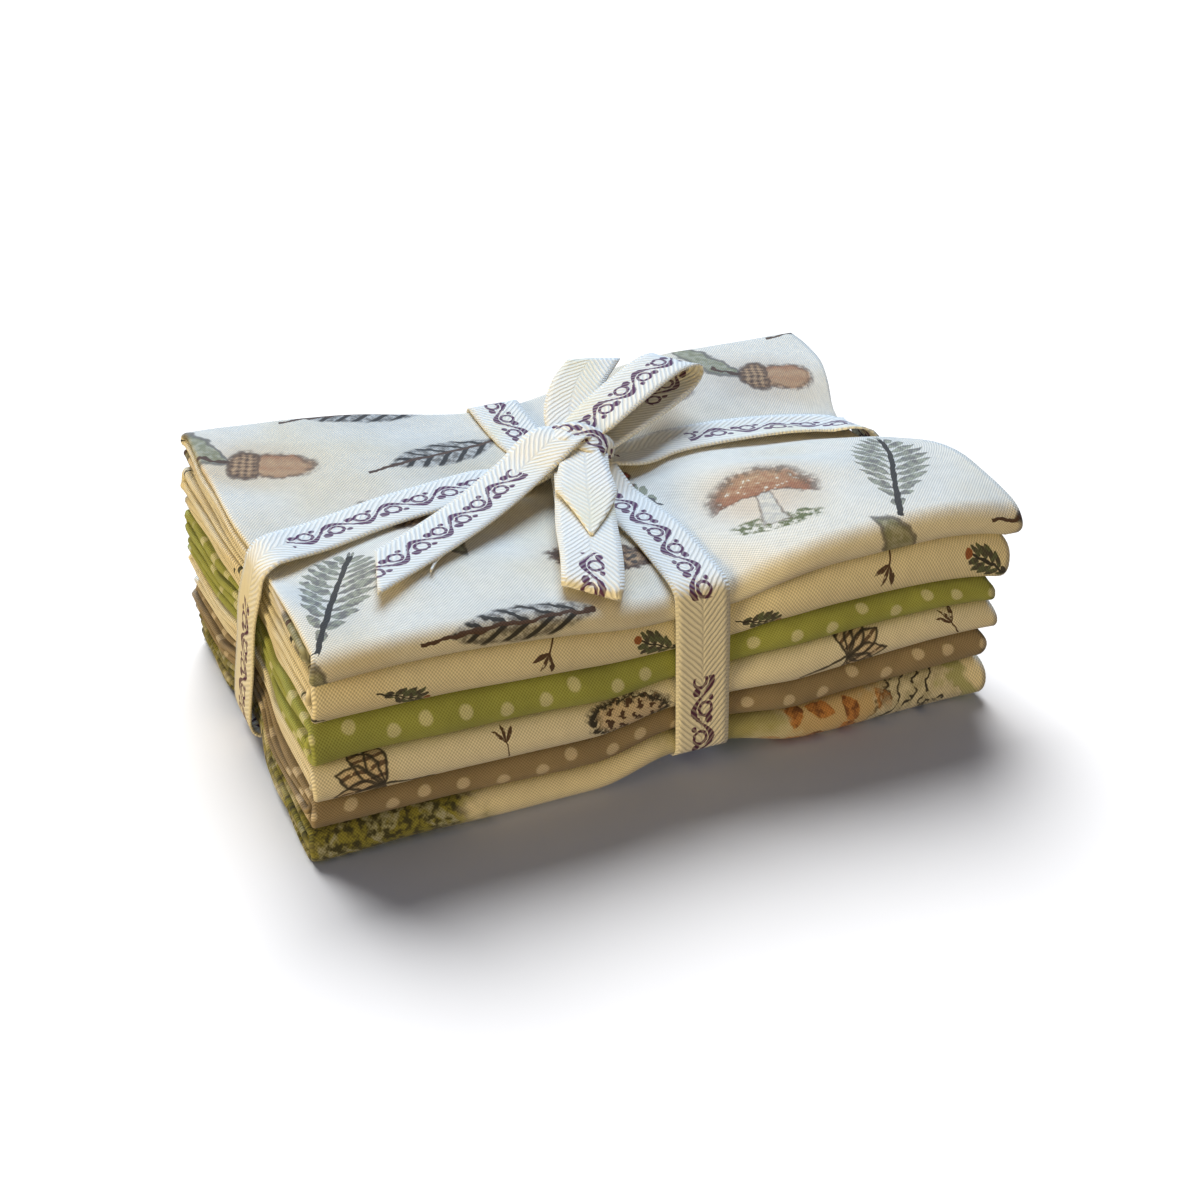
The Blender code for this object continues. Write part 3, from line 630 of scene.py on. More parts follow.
def layer_points():
    """The fold in three: the outer panel, round the left end, the inner panel, round the right end and
    back between the two."""
    panel = CUT_LENGTH / 3
    points = [LayerPoint(1 - share, 1.0, 0.0, panel * share) for share in panel_shares(LENGTH_SPACING)]
    for step in range(LEFT_BEND_STEPS):
        angle = radians(mix(90, 270, step / LEFT_BEND_STEPS))
        points.append(LayerPoint(0.0, sin(angle), LAYER_STEP * cos(angle), panel))
    points += [LayerPoint(share, -1.0, 0.0, panel * (1 + share)) for share in panel_shares(HIDDEN_SPACING)]
    for step in range(RIGHT_BEND_STEPS):
        angle = radians(mix(-90, 90, step / RIGHT_BEND_STEPS))
        points.append(LayerPoint(1.0, 0.5 * sin(angle) - 0.5, 0.5 * LAYER_STEP * cos(angle), 2 * panel))
    points += [LayerPoint(1 - share, 0.0, 0.0, panel * (2 + share)) for share in panel_shares(HIDDEN_SPACING)
               if share < TUCKED_END]
    points.append(LayerPoint(1 - TUCKED_END, 0.0, 0.0, CUT_LENGTH))
    return points


def end_places(piece, index, fold):
    """Where the cloth's left and right ends lie at one place on the fold in four: they are never even."""
    v = depth_share(fold.y)
    share_up = clamp01(fold.z / SLOT)
    round_end = 1 - (1 - (2 * share_up - 1) ** 2) ** 0.5
    rounding = mix(TOP_LEFT_ROUNDING, LEFT_ROUNDING, v) if index == len(PIECES) - 1 else LEFT_ROUNDING
    left = mix(piece.left_front, piece.left_back, v) + rounding * round_end
    left += piece.fan * ripple(LEFT_PLY_STEP, index, fold.turn, fold.y)
    left += ripple(LEFT_EDGE, index, fold.y, fold.turn)
    right = mix(piece.right_front, piece.right_back, v) - RIGHT_ROUNDING * round_end
    right -= piece.fan * (RIGHT_PLY_STEP.amount + ripple(RIGHT_PLY_STEP, index, fold.turn, fold.y))
    right += ripple(RIGHT_EDGE, index, fold.y, fold.turn)
    return left, right


def ply_shift(index, x, y, z):
    """Plies lie closer in some places than in others; the shift never carries one past the next."""
    parted = clamp01((abs(x) - PARTED_FROM) / PARTED_RUN)
    once = mix(*PLY_SHIFT_SHARES, parted) * ripple(PLY_SHIFT, index, x, y)
    twice = mix(*PLY_TWIST_SHARES, parted) * ripple(PLY_TWIST, index, x, y)
    rise = pi * clamp01(z / SLOT)
    return once * sin(rise) + twice * sin(2 * rise)


def grid_place(share, count):
    """Which row or column of a grid lies at a share from -1 to 1."""
    return round((share + 1) / 2 * (count - 1))


def set_flat(flat, vertex, s, t):
    """Writes where a vertex lies on the flat cloth, given in millimetres."""
    for loop in vertex.link_loops:
        loop[flat].uv = (s * MM, t * MM)


def fold_fat_quarter(index):
    """One sheet of cloth: a flat grid whose points are laid along the two foldings."""
    piece = PIECES[index]
    folds = fold_points(piece)
    layers = layer_points()
    ends = [end_places(piece, index, fold) for fold in folds]
    rise = index / (len(PIECES) - 1)
    bm = bmesh.new()
    flat = bm.loops.layers.uv.new(FLAT_LAYER)
    bmesh.ops.create_grid(bm, x_segments=len(layers) - 1, y_segments=len(folds) - 1, size=1.0)
    for vertex in bm.verts:
        row = grid_place(vertex.co.y, len(folds))
        layer = layers[grid_place(vertex.co.x, len(layers))]
        fold = folds[row]
        left, right = ends[row]
        raw = layer.layer * ripple(RAW_EDGE, index, fold.y, layer.layer)
        x = mix(left, right + raw, layer.share) + layer.bulge
        offset = layer.layer * LAYER_STEP
        y = fold.y + offset * fold.normal_y
        z = fold.z + offset * fold.normal_z
        near_front = clamp01((-y - FRONT_UNEVEN_FROM) / FRONT_UNEVEN_RUN)
        y += near_front * ripple(FRONT_EDGE, index, x)
        z += ply_shift(index, x, y, z)
        x, y = pinched(x, y, rise)
        base = waist(x, y)
        height = top_height(x, y) - base
        low, high = slot_heights(index, base, height, length_share(x))
        vertex.co = to_frame(x, y, low + z / SLOT * (high - low))
        set_flat(flat, vertex, layer.along, fold.along)
    bmesh.ops.recalc_face_normals(bm, faces=bm.faces[:])
    return bm


# The tape

def smooth_route(points):
    """A smooth curve through tape points (Catmull-Rom), with about even steps."""
    route = []
    last = len(points) - 1
    for index in range(last):
        four = [points[max(index - 1, 0)], points[index], points[index + 1], points[min(index + 2, last)]]
        length = (Vector(four[2][:3]) - Vector(four[1][:3])).length
        steps = max(2, ceil(length / TAPE_SPACING))
        for step in range(steps):
            t = step / steps
            weights = (-0.5 * t + t * t - 0.5 * t ** 3, 1 - 2.5 * t * t + 1.5 * t ** 3,
                       0.5 * t + 2 * t * t - 1.5 * t ** 3, -0.5 * t * t + 0.5 * t ** 3)
            route.append(TapePoint(*(sum(w * p[axis] for w, p in zip(weights, four)) for axis in range(7))))
    route.append(points[-1])
    return route


def tape_frames(route):
    """Centre, direction across the width and face normal of the tape at each point of a route."""
    frames = []
    for index, point in enumerate(route):
        before = Vector(route[max(index - 1, 0)][:3])
        after = Vector(route[min(index + 1, len(route) - 1)][:3])
        along = (after - before).normalized()
        heading = radians(point.across)
        lean = radians(point.lean)
        across = Vector((cos(heading) * cos(lean), sin(heading) * cos(lean), sin(lean)))
        across = (across - along * across.dot(along)).normalized()
        frames.append((Vector(point[:3]), across, along.cross(across)))
    return frames


def under_tape(x, y):
    """The middle and the edges of a stretch of tape."""
    reach = 0.5 * TAPE_WIDTH
    return (x, y), (x - reach, y), (x + reach, y), (x, y - reach), (x, y + reach)


def rest_height(x, y):
    """Middle height of tape lying on the stack at one place, clear of the cloth over its width."""
    return max(top_height(*spot) for spot in under_tape(x, y)) + TAPE_STAND_OFF


def under_height(x, y):
    """Middle height of tape passing under the stack."""
    return min(waist(*spot) for spot in under_tape(x, y)) - TAPE_STAND_OFF


def over_depth(stations):
    """Tape lying on the stack along the front-back band."""
    places = [(band_middle(FRONT_BACK_BAND, y), y) for y in stations]
    return [TapePoint(x, y, rest_height(x, y), 0) for x, y in places]


def over_length(stations):
    """Tape lying on the stack along the left-right band."""
    route = []
    for x in stations:
        y = band_middle(LEFT_RIGHT_BAND, x)
        lean = RIGHT_ARM_LEAN * max(0.0, (x - LEAN_FROM_X) / LEAN_RUN)
        route.append(TapePoint(x, y, rest_height(x, y), 90, -lean))
    return route


def round_edge(x, centre_y, centre_z, radius, angles):
    """Tape going round a long edge of the stack."""
    turns = [radians(angle) for angle in angles]
    return [TapePoint(x, centre_y + radius * cos(turn), centre_z + radius * sin(turn), 0) for turn in turns]


def front_back_route():
    """From the knot forward, down the front, under the stack, up the back and back to the knot."""
    front_x = FRONT_BACK_BAND[0].aside
    back_x = FRONT_BACK_BAND[-1].aside
    corner = FOLD_RADIUS + TAPE_STAND_OFF
    front_centre = -HALF_DEPTH + PINCH_FRONT + FOLD_RADIUS
    top = rest_height(front_x, front_centre)
    route = [KNOT_FRONT] + over_depth(TOP_FRONT_STATIONS)
    route += round_edge(front_x, front_centre, top - corner, corner, TOP_FRONT_ANGLES)
    for z in FRONT_FACE_HEIGHTS:
        route.append(TapePoint(mix(UNDER_FRONT_X, front_x, z / top), front_centre - corner, z, 0))
    low = under_height(UNDER_FRONT_X, front_centre)
    for angle in LOW_FRONT_ANGLES:
        rise = LOW_CORNER_RISE * (1 + sin(radians(angle)))
        route.append(TapePoint(UNDER_FRONT_X, front_centre + corner * cos(radians(angle)), low + rise, 0))
    for y in UNDER_DEPTH_STATIONS:
        x = mix(UNDER_FRONT_X, UNDER_BACK_X, depth_share(y))
        route.append(TapePoint(x, y, under_height(x, y), 0))
    back_face = HALF_DEPTH - PINCH_BACK + TAPE_STAND_OFF
    low = under_height(UNDER_BACK_X, back_face)
    for inset, rise in LOW_BACK_CORNER:
        route.append(TapePoint(UNDER_BACK_X, back_face - inset, low + rise, 0))
    top = rest_height(back_x, HALF_DEPTH)
    for z in BACK_FACE_HEIGHTS + (top - BACK_FACE_TOP_DROP,):
        route.append(TapePoint(back_x, back_face, z, 0))
    corner = BACK_FOLD_RADIUS + TAPE_STAND_OFF
    route += round_edge(back_x, back_face - corner, top - corner, corner, TOP_BACK_ANGLES)
    return route + over_depth(TOP_BACK_STATIONS) + [KNOT_BACK]


def left_right_route():
    """From the knot left, down the left end, under the stack, up the right end and back to the knot."""
    route = [KNOT_LEFT] + over_length(TOP_LEFT_STATIONS)
    route += [TapePoint(*place, 90) for place in LEFT_END_RUN]
    route += [TapePoint(x, UNDER_Y, under_height(x, UNDER_Y), 90) for x in UNDER_LENGTH_STATIONS]
    for place in RIGHT_END_RUN:
        lean = RIGHT_ARM_LEAN * clamp01((place.z - LEAN_FROM_Z) / LEAN_RISE)
        route.append(TapePoint(*place, 90, -lean))
    return route + over_length(TOP_RIGHT_STATIONS) + [KNOT_RIGHT]


def over_the_top(spot):
    """Whether a place lies over the level part of the stack, away from its rounded edges."""
    level = LEVEL_LEFT < spot.x < LEVEL_RIGHT and LEVEL_FRONT < spot.y < LEVEL_BACK
    return level and spot.z > LEVEL_ABOVE


def add_tape_run(bm, flat, run):
    """Adds one run of tape to the mesh and returns how long it is."""
    route = smooth_route(run.points)
    frames = tape_frames(route)
    lengths = [0.0]
    for low, high in zip(frames, frames[1:]):
        lengths.append(lengths[-1] + (high[0] - low[0]).length)
    rows = len(frames)
    made = bmesh.ops.create_grid(bm, x_segments=TAPE_COLUMNS, y_segments=rows - 1, size=1.0)["verts"]
    for vertex in made:
        side = vertex.co.x
        row = grid_place(vertex.co.y, rows)
        centre, across, normal = frames[row]
        reach = route[row].right if side > 0 else route[row].left
        offset = 0.5 * TAPE_WIDTH * side * reach
        slant = run.cut * side * clamp01(1 - (lengths[-1] - lengths[row]) / CUT_REACH)
        spot = centre + across * offset + across.cross(normal) * slant
        if run.clears and over_the_top(spot):
            spot.z = max(spot.z, top_height(spot.x, spot.y) + TAPE_STAND_OFF)
        vertex.co = to_frame(*spot)
        set_flat(flat, vertex, offset, run.print_from + lengths[row] + slant)
    return lengths[-1]


def tie_tape():
    """All runs of the tape in one mesh, and their length together."""
    bm = bmesh.new()
    flat = bm.loops.layers.uv.new(FLAT_LAYER)
    runs = (
        Run(KNOT_WRAP, 0.0, False, 0.0),
        Run(front_back_route(), 0.0, True, 0.0),
        Run(left_right_route(), 72.0, True, 0.0),
        Run(FRONT_LOOP, 76.0, True, 0.0),
        Run(FRONT_FOLD, UNPRINTED, False, 0.0),
        Run(BACK_LOOP, 0.0, False, 0.0),
        Run(LEFT_TAIL, 64.0, True, 8.0),
        Run(BACK_TAIL, UNPRINTED, False, 3.9),
        Run(LOOSE_THREAD, UNPRINTED, True, 0.0),
    )
    length = sum(add_tape_run(bm, flat, run) for run in runs)
    bmesh.ops.recalc_face_normals(bm, faces=bm.faces[:])
    return bm, length


def knot_core():
    """The rounded filling of the knot, under its wrap."""
    bm = bmesh.new()
    flat = bm.loops.layers.uv.new(FLAT_LAYER)
    bmesh.ops.create_uvsphere(bm, u_segments=KNOT_SEGMENTS, v_segments=KNOT_RINGS, radius=1.0)
    for vertex in bm.verts:
        x, y, z = vertex.co
        crumple = 1 + KNOT_CRUMPLE * wave(70, 2.2 * x + 1.1 * z, 2.2 * y)
        parts = zip(KNOT_MIDDLE, KNOT_RADII, (x, y, z))
        vertex.co = to_frame(*(middle + radius * part * crumple for middle, radius, part in parts))
        x, y, z = vertex.co / MM
        set_flat(flat, vertex, 0.7 * x, y + z)
    return bm


# Materials: a socket that Python's own signs work on

MIX_LOW = 6
MIX_HIGH = 7
MIX_RESULT = 2


def math_node(operation, swapped=False):
    """A method that adds one Math node; swapped puts the socket itself last."""
    def method(self, *others):
        values = (*others, self) if swapped else (self, *others)
        return self.node("ShaderNodeMath", {"operation": operation}, dict(enumerate(values)))
    return method


class Wire:
    """A socket of a material. Sums, products and the like on it add Math nodes."""

    def __init__(self, tree, socket):
        self.tree = tree
        self.socket = socket

    def node(self, kind, settings=None, sockets=None, output=0):
        """Adds a node: its settings first, then the values or links of its sockets; gives one output."""
        made = self.tree.nodes.new(kind)
        for name, value in (settings or {}).items():
            setattr(made, name, value)
        for name, value in (sockets or {}).items():
            if isinstance(value, Wire):
                self.tree.links.new(value.socket, made.inputs[name])
            else:
                made.inputs[name].default_value = value
        return Wire(self.tree, made.outputs[output])

    __add__ = math_node("ADD")
    __radd__ = math_node("ADD")
    __sub__ = math_node("SUBTRACT")
    __rsub__ = math_node("SUBTRACT", swapped=True)
    __mul__ = math_node("MULTIPLY")
    __rmul__ = math_node("MULTIPLY")
    __truediv__ = math_node("DIVIDE")
    __pow__ = math_node("POWER")
    __mod__ = math_node("FLOORED_MODULO")
    __abs__ = math_node("ABSOLUTE")
    __lt__ = math_node("LESS_THAN")
    __gt__ = math_node("GREATER_THAN")
    sine = math_node("SINE")
    over = math_node("MAXIMUM")
    under = math_node("MINIMUM")

    def other(self, output):
        """Another output of the same node."""
        return Wire(self.tree, self.socket.node.outputs[output])

    def soft_step(self, low, high, at_low=0.0, at_high=1.0):
        """at_low below low and at_high above high, with a soft rise between them."""
        return self.node("ShaderNodeMapRange", {"interpolation_type": "SMOOTHSTEP"},
                         {"Value": self, "From Min": low, "From Max": high,
                          "To Min": at_low, "To Max": at_high})

    def fade(self, low, high):
        """1 below low and 0 above high."""
        return self.soft_step(low, high, 1.0, 0.0)

    def colour_mix(self, low, high):
        """Goes from colour low to colour high as this value goes from 0 to 1."""
        sides = {"Factor": self}
        for name, value in ((MIX_LOW, low), (MIX_HIGH, high)):
            sides[name] = value if isinstance(value, Wire) else (*value, 1.0)
        return self.node("ShaderNodeMix", {"data_type": "RGBA"}, sides, MIX_RESULT)

    def speckle(self, low, high, dark, light):
        """Two colours in soft-edged specks, for a grain between 0 and 1."""
        return self.soft_step(low, high).colour_mix(dark, light)


Flat = namedtuple("Flat", "s t place")


def in_axes(place):
    """The two parts of a place on the flat cut."""
    s = place.node("ShaderNodeSeparateXYZ", None, {0: place})
    return s, s.other(1)


def flat_cut(tree):
    """Where a point lies on the flat cut, in millimetres: s along its length, t along its width."""
    start = Wire(tree, None)
    unwrapped = start.node("ShaderNodeUVMap", {"uv_map": FLAT_LAYER})
    place = start.node("ShaderNodeVectorMath", {"operation": "SCALE"}, {0: unwrapped, "Scale": 1 / MM})
    return Flat(*in_axes(place), place)


def moved(place, shift):
    """The same pattern from another part of its noise."""
    return place.node("ShaderNodeVectorMath", {"operation": "ADD"}, {0: place, 1: (shift, shift, 0.0)})


def cloudy(flat, size, detail=2.0, seed=0.0):
    """Soft unevenness from 0 to 1, of a size in millimetres."""
    return flat.place.node("ShaderNodeTexNoise", {"noise_dimensions": "2D"},
                           {"Vector": moved(flat.place, seed), "Scale": 1 / size, "Detail": detail,
                            "Roughness": 0.55})


def new_material(name):
    """A material, its node tree and its shader."""
    material = bpy.data.materials.new(name)
    material.use_nodes = True
    return material, material.node_tree, material.node_tree.nodes["Principled BSDF"]


# Shapes of ink: each is below 1 inside its own outline

def turned(u, v, degrees):
    """The same place in axes turned by an angle."""
    c = cos(radians(degrees))
    s = sin(radians(degrees))
    return u * c + v * s, v * c - u * s


def oval(u, v, half_u, half_v):
    a = u / half_u
    b = v / half_v
    return (a * a + b * b) ** 0.5


def leaf(u, v, length, width):
    """A pointed leaf that runs along u from 0."""
    along = u * (2 / length) - 1
    return abs(v) / (width / 2) + along * along


def stroke(u, v, start, end, half):
    """A straight line along u."""
    past = (start - u).over(u - end).over(0.0)
    return abs(v).over(past) / half


def spray(u, v, length, pitch, leaf_length, width, lean):
    """Paired leaves on a stalk that runs along u from 0, longest half way."""
    slope = radians(lean)
    side = abs(v)
    foot = u - side / (sin(slope) / cos(slope))
    off = foot % pitch - pitch / 2
    share = (foot - off) * (2 / length) - 1
    reach = ((1 - share * share) * leaf_length).over(0.001)
    along = side * (2 / sin(slope)) / reach - 1
    return abs(off) * (sin(slope) / (width / 2)) + along * along


def solid(shape):
    return shape.fade(0.84, 1.08)


def outline(shape):
    return shape.soft_step(0.68, 0.92) * shape.fade(1.0, 1.2)


def line(shape):
    return shape.fade(0.7, 1.2)


def halo(u, v, half_u, half_v):
    """A wash that fades out round a motif."""
    return oval(u, v, half_u, half_v).fade(0.2, 1.0)


def laid_over(colour, layers):
    """Lays inks over a colour: each is where it goes and its own colour."""
    for mask, ink in layers:
        colour = mask.colour_mix(colour, ink)
    return colour


INK_BLACK = (0.030, 0.028, 0.026)
INK_GREY = (0.130, 0.120, 0.110)
INK_BROWN = (0.085, 0.045, 0.030)
PALE_GREY = (0.520, 0.500, 0.460)
RUSSET = (0.310, 0.105, 0.040)
TAN = (0.520, 0.330, 0.180)
ROSE = (0.520, 0.150, 0.150)
LEAF_GREEN = (0.130, 0.150, 0.060)
SAGE = (0.300, 0.310, 0.220)
MOSS = (0.250, 0.240, 0.045)
MOSS_DARK = (0.045, 0.045, 0.015)
PAPER = (0.740, 0.690, 0.580)
DARK_LEAF = (0.070, 0.100, 0.050)


# Each motif is drawn in parts of its own size, from its middle; the first ink lies lowest

def paint_toadstool(u, v, grain):
    cap = oval(u, v, 1.0, 0.78).over(1 - (v + u * u * 0.25) / 0.2)
    stalk = stroke(v, u / (1 - v * 0.9), -1.0, 0.1, 0.13)
    moss = oval(u, v + 1.05, 0.9, 0.30)
    return (
        (halo(u, v, 1.7, 1.5) * 0.4, TAN),
        (solid(moss) * grain.soft_step(0.35, 0.6), LEAF_GREEN),
        (solid(stalk) * 0.9, grain.speckle(0.3, 0.7, PALE_GREY, PAPER)),
        (outline(stalk) * grain, INK_BROWN),
        (solid(cap) * 0.92, (grain * 0.7 + v * 0.4).speckle(0.25, 0.75, RUSSET, TAN)),
        (solid(cap) * grain.soft_step(0.62, 0.68) * 0.9, PAPER),
        (outline(cap) * grain.soft_step(0.3, 0.6) * 0.7, INK_BROWN),
    )


def paint_acorn(u, v, grain):
    nut = oval(u - 0.62, v, 0.72, 0.46)
    cup = oval(u, v, 0.38, 0.54).over(u / 0.22)
    ribs = (abs(v - 0.12) * 9.0).sine() * 0.5 + 0.5
    scales = ((u + v) * 22.0).sine() * ((u - v) * 22.0).sine() * 0.5 + 0.5
    stalk = stroke(u, v + u * u * 0.4, -0.9, -0.2, 0.06)
    blade = leaf((u + 0.3) * -1, v - (u + 0.3) * 0.9, 1.6, 0.9)
    return (
        (halo(u, v, 1.9, 1.3) * 0.35, TAN),
        (solid(blade) * 0.8, grain.speckle(0.35, 0.65, LEAF_GREEN, SAGE)),
        (outline(blade) * 0.8, INK_GREY),
        (solid(stalk), INK_BROWN),
        (solid(nut) * 0.95, (ribs * 0.5 + grain * 0.6).colour_mix(RUSSET, TAN)),
        (outline(nut) * grain.soft_step(0.3, 0.6) * 0.7, INK_BROWN),
        (solid(cup), scales.colour_mix(INK_BROWN, TAN)),
        (outline(cup) * grain.soft_step(0.2, 0.5) * 0.8, INK_BROWN),
    )


def paint_fern(u, v, grain):
    blades = spray(u + 1.0, v, 2.0, 0.17, 0.62, 0.13, 52)
    rib = stroke(u, v, -1.15, 0.9, 0.035)
    return (
        (halo(u, v, 1.5, 0.9) * 0.25, PALE_GREY),
        (solid(blades) * 0.9, grain.speckle(0.35, 0.65, INK_GREY, SAGE)),
        (solid(rib), INK_BLACK),
    )


def paint_cone(u, v, grain):
    body = oval(u, v, 1.0, 0.52)
    scales = ((u + v * 1.3) * 13.0).sine() * ((u - v * 1.3) * 13.0).sine()
    return (
        (halo(u, v, 1.7, 1.2) * 0.35, TAN),
        (solid(body), grain.speckle(0.3, 0.7, INK_BROWN, TAN)),
        (solid(body) * scales.soft_step(0.0, 0.6) * 0.85, INK_BLACK),
        (outline(body) * grain.soft_step(0.3, 0.6), INK_BROWN),
    )


def paint_berries(u, v, grain):
    near = oval(u, v, 0.34, 0.34)
    high = oval(u - 0.62, v - 0.4, 0.3, 0.3)
    low = oval(u - 0.5, v + 0.45, 0.32, 0.32)
    fruit = near.under(high).under(low)
    blades = spray(u + 1.5, v, 1.5, 0.42, 0.6, 0.3, 48)
    rib = stroke(u, v, -1.7, 0.1, 0.06)
    return (
        (solid(blades) * 0.85, grain.colour_mix(LEAF_GREEN, SAGE)),
        (solid(rib), INK_GREY),
        (solid(fruit), grain.speckle(0.3, 0.7, ROSE, RUSSET)),
        (outline(fruit) * 0.6, INK_BROWN),
    )


def paint_feather(u, v, grain):
    vane = leaf(u + 1.0, v, 2.0, 0.62)
    bars = ((u + abs(v) * 1.4) * 20.0).sine()
    quill = stroke(u, v, -1.3, 0.95, 0.03)
    return (
        (halo(u, v, 1.4, 0.8) * 0.3, PALE_GREY),
        (solid(vane) * 0.9, grain.speckle(0.35, 0.65, INK_GREY, PALE_GREY)),
        (solid(vane) * bars.soft_step(0.1, 0.7), INK_BLACK),
        (solid(quill), INK_BROWN),
    )


def paint_seed_head(u, v, grain, slant):
    """A fan of open husks on a stalk, in ink with a little wash; slant tilts the ribs of the husks."""
    lines = line(stroke(u, v, -1.0, 0.1, 0.035))
    filled = 0.0
    for lean in (-66, -40, -14, 14, 40, 66):
        husk = leaf(*turned(u, v, lean), 1.0, 0.42)
        lines = outline(husk).over(lines)
        filled = solid(husk).over(filled)
    ribs = (v * 34.0 + u * slant).sine().soft_step(0.1, 0.6)
    return (
        (filled * 0.45, TAN),
        (filled * ribs * grain.soft_step(0.30, 0.42) * 0.9, INK_BROWN),
        (lines * 0.95, INK_BLACK),
    )


def paint_ink_cone(u, v, grain):
    """A closed cone in ink, its scales in crossing arcs."""
    body = oval(u, v + (grain - 0.5) * 0.5, 1.0, 0.42)
    rows = ((u * 1.3 + abs(v) * 1.1 + grain * 0.5) * 13.0).sine()
    splits = ((v * 1.6 - u * 0.5 + grain * 0.3) * 14.0).sine()
    return (
        (solid(body) * 0.5, TAN),
        (solid(body) * rows.soft_step(0.0, 0.5) * splits.soft_step(-0.7, -0.2), INK_BROWN),
        (outline(body) * grain.soft_step(0.3, 0.5), INK_BLACK),
    )


def paint_tuft(u, v, grain):
    blades = 0.0
    for lean in (-42, 0, 42):
        blades = solid(leaf(*turned(u, v, lean), 1.0, 0.24)).over(blades)
    return (
        (line(stroke(u, v, -0.9, 0.2, 0.05)), INK_BROWN),
        (blades * grain.soft_step(0.25, 0.45), INK_BROWN),
    )


def paint_sprig(u, v, grain):
    blades = spray(u + 1.0, v, 2.0, 0.36, 0.72, 0.34, 48)
    return (
        (solid(blades) * 0.95, grain.speckle(0.4, 0.6, INK_BLACK, DARK_LEAF)),
        (line(stroke(u, v, -1.3, 0.9, 0.04)), INK_BLACK),
        (solid(oval(u - 1.05, v, 0.16, 0.16)), RUSSET),
    )


# The motifs of three prints on the flat cut, each print on its own even repeat;
# s and t are millimetres, turn is in degrees and size about half a motif's length
Motif = namedtuple("Motif", "paint s t turn size")
Repeat = namedtuple("Repeat", "s t")
TOP_REPEAT = Repeat(152.0, 116.0)
TOP_MOTIFS = (
    Motif(paint_fern, 22.0, 148.0, 118, 22.0),
    Motif(paint_toadstool, 58.0, 152.0, 14, 13.5),
    Motif(paint_cone, 58.0, 222.0, 28, 13.0),
    Motif(paint_acorn, 24.0, 216.0, 200, 13.5),
    Motif(paint_berries, 84.0, 180.0, 75, 9.0),
    Motif(paint_feather, 122.0, 212.0, 160, 20.0),
    Motif(paint_cone, 106.0, 146.0, 195, 13.0),
    Motif(paint_acorn, 144.0, 180.0, 40, 11.0),
    Motif(paint_feather, 136.0, 123.0, 176, 19.0),
)
SPRIG_REPEAT = Repeat(93.0, 59.0)
SPRIG_MOTIFS = (
    Motif(paint_sprig, 6.0, 118.0, 20, 6.5),
    Motif(paint_sprig, 30.0, 146.0, 140, 6.0),
    Motif(paint_tuft, 36.0, 121.0, -60, 5.0),
    Motif(paint_sprig, 72.0, 117.0, 200, 5.5),
    Motif(paint_sprig, 70.0, 152.0, 75, 6.0),
)
CONE_REPEAT = Repeat(186.0, 62.0)
CONE_MOTIFS = (
    Motif(partial(paint_seed_head, slant=11.25), 170.0, 116.0, 10, 12.5),
    Motif(paint_tuft, 139.0, 119.0, 80, 4.5),
    Motif(paint_ink_cone, 106.0, 118.0, 8, 11.0),
    Motif(paint_tuft, 84.0, 147.0, 200, 4.5),
    Motif(partial(paint_seed_head, slant=10.8), 46.0, 117.0, 168, 12.0),
    Motif(paint_tuft, 14.0, 119.0, 60, 5.0),
    Motif(paint_ink_cone, 20.0, 150.0, 60, 9.0),
    Motif(partial(paint_seed_head, slant=9.9), 150.0, 150.0, 250, 11.0),
)


def with_motifs(flat, colour, motifs, repeat, grain_size, wobble_size):
    """Prints motifs over a colour; the wobble makes their lines a little uneven, as if drawn by hand."""
    grain = cloudy(flat, grain_size, 4.0, 12.0)
    wobble = (cloudy(flat, 4.5, 2.0, 77.0) - 0.5) * wobble_size
    for motif in motifs:
        across = (flat.s - (motif.s - repeat.s / 2)) % repeat.s - repeat.s / 2
        along = (flat.t - (motif.t - repeat.t / 2)) % repeat.t - repeat.t / 2
        u, v = turned(across + wobble, along - wobble, motif.turn)
        colour = laid_over(colour, motif.paint(u / motif.size, v / motif.size, grain))
    return colour


def scattered(flat, spacing, randomness, seed):
    """Divides the cloth into cells; gives a place in its own cell's axes, which are turned at random."""
    place = moved(flat.place, seed)
    middle = place.node("ShaderNodeTexVoronoi", {"voronoi_dimensions": "2D"},
                        {"Vector": place, "Scale": 1 / spacing, "Randomness": randomness}, 2)
    chance, _ = in_axes(middle.other(1))
    away = place.node("ShaderNodeVectorMath", {"operation": "SUBTRACT"}, {0: place, 1: middle})
    spun = away.node("ShaderNodeVectorRotate", {"rotation_type": "Z_AXIS"},
                     {"Vector": away, "Angle": chance * (40 * pi)})
    return in_axes(spun)


WEAVE_PITCH = 0.86
COTTON_RELIEF = 0.00016
COTTON_ROUGHNESS = 0.88
COTTON_SHEEN = 0.10
SHEEN_ROUGHNESS = 0.5
TAPE_RELIEF = 0.00035
TAPE_ROUGHNESS = 0.9
RELIEF_STRENGTH = 0.6


def plain_weave(flat):
    """The threads of quilting cotton, 0 between them to 1 on top of each crossing."""
    turn = 2 * pi / WEAVE_PITCH
    wander = (cloudy(flat, 5.0, 1.0, 31.0) - 0.5) * 1.6
    warp = (flat.s * turn + wander).sine()
    weft = (flat.t * turn - wander).sine()
    return warp * weft * 0.5 + 0.5


def finish_weave(tree, shader, colour, shade, height, relief):
    """Darkens a colour between the threads, as painted shade, and raises the threads."""
    woven = colour.node("ShaderNodeMix", {"data_type": "RGBA", "blend_type": "MULTIPLY"},
                        {"Factor": 1.0, MIX_LOW: colour, MIX_HIGH: shade}, MIX_RESULT)
    tree.links.new(woven.socket, shader.inputs["Base Color"])
    bump = height.node("ShaderNodeBump", None,
                       {"Height": height, "Strength": RELIEF_STRENGTH, "Distance": relief})
    tree.links.new(bump.socket, shader.inputs["Normal"])


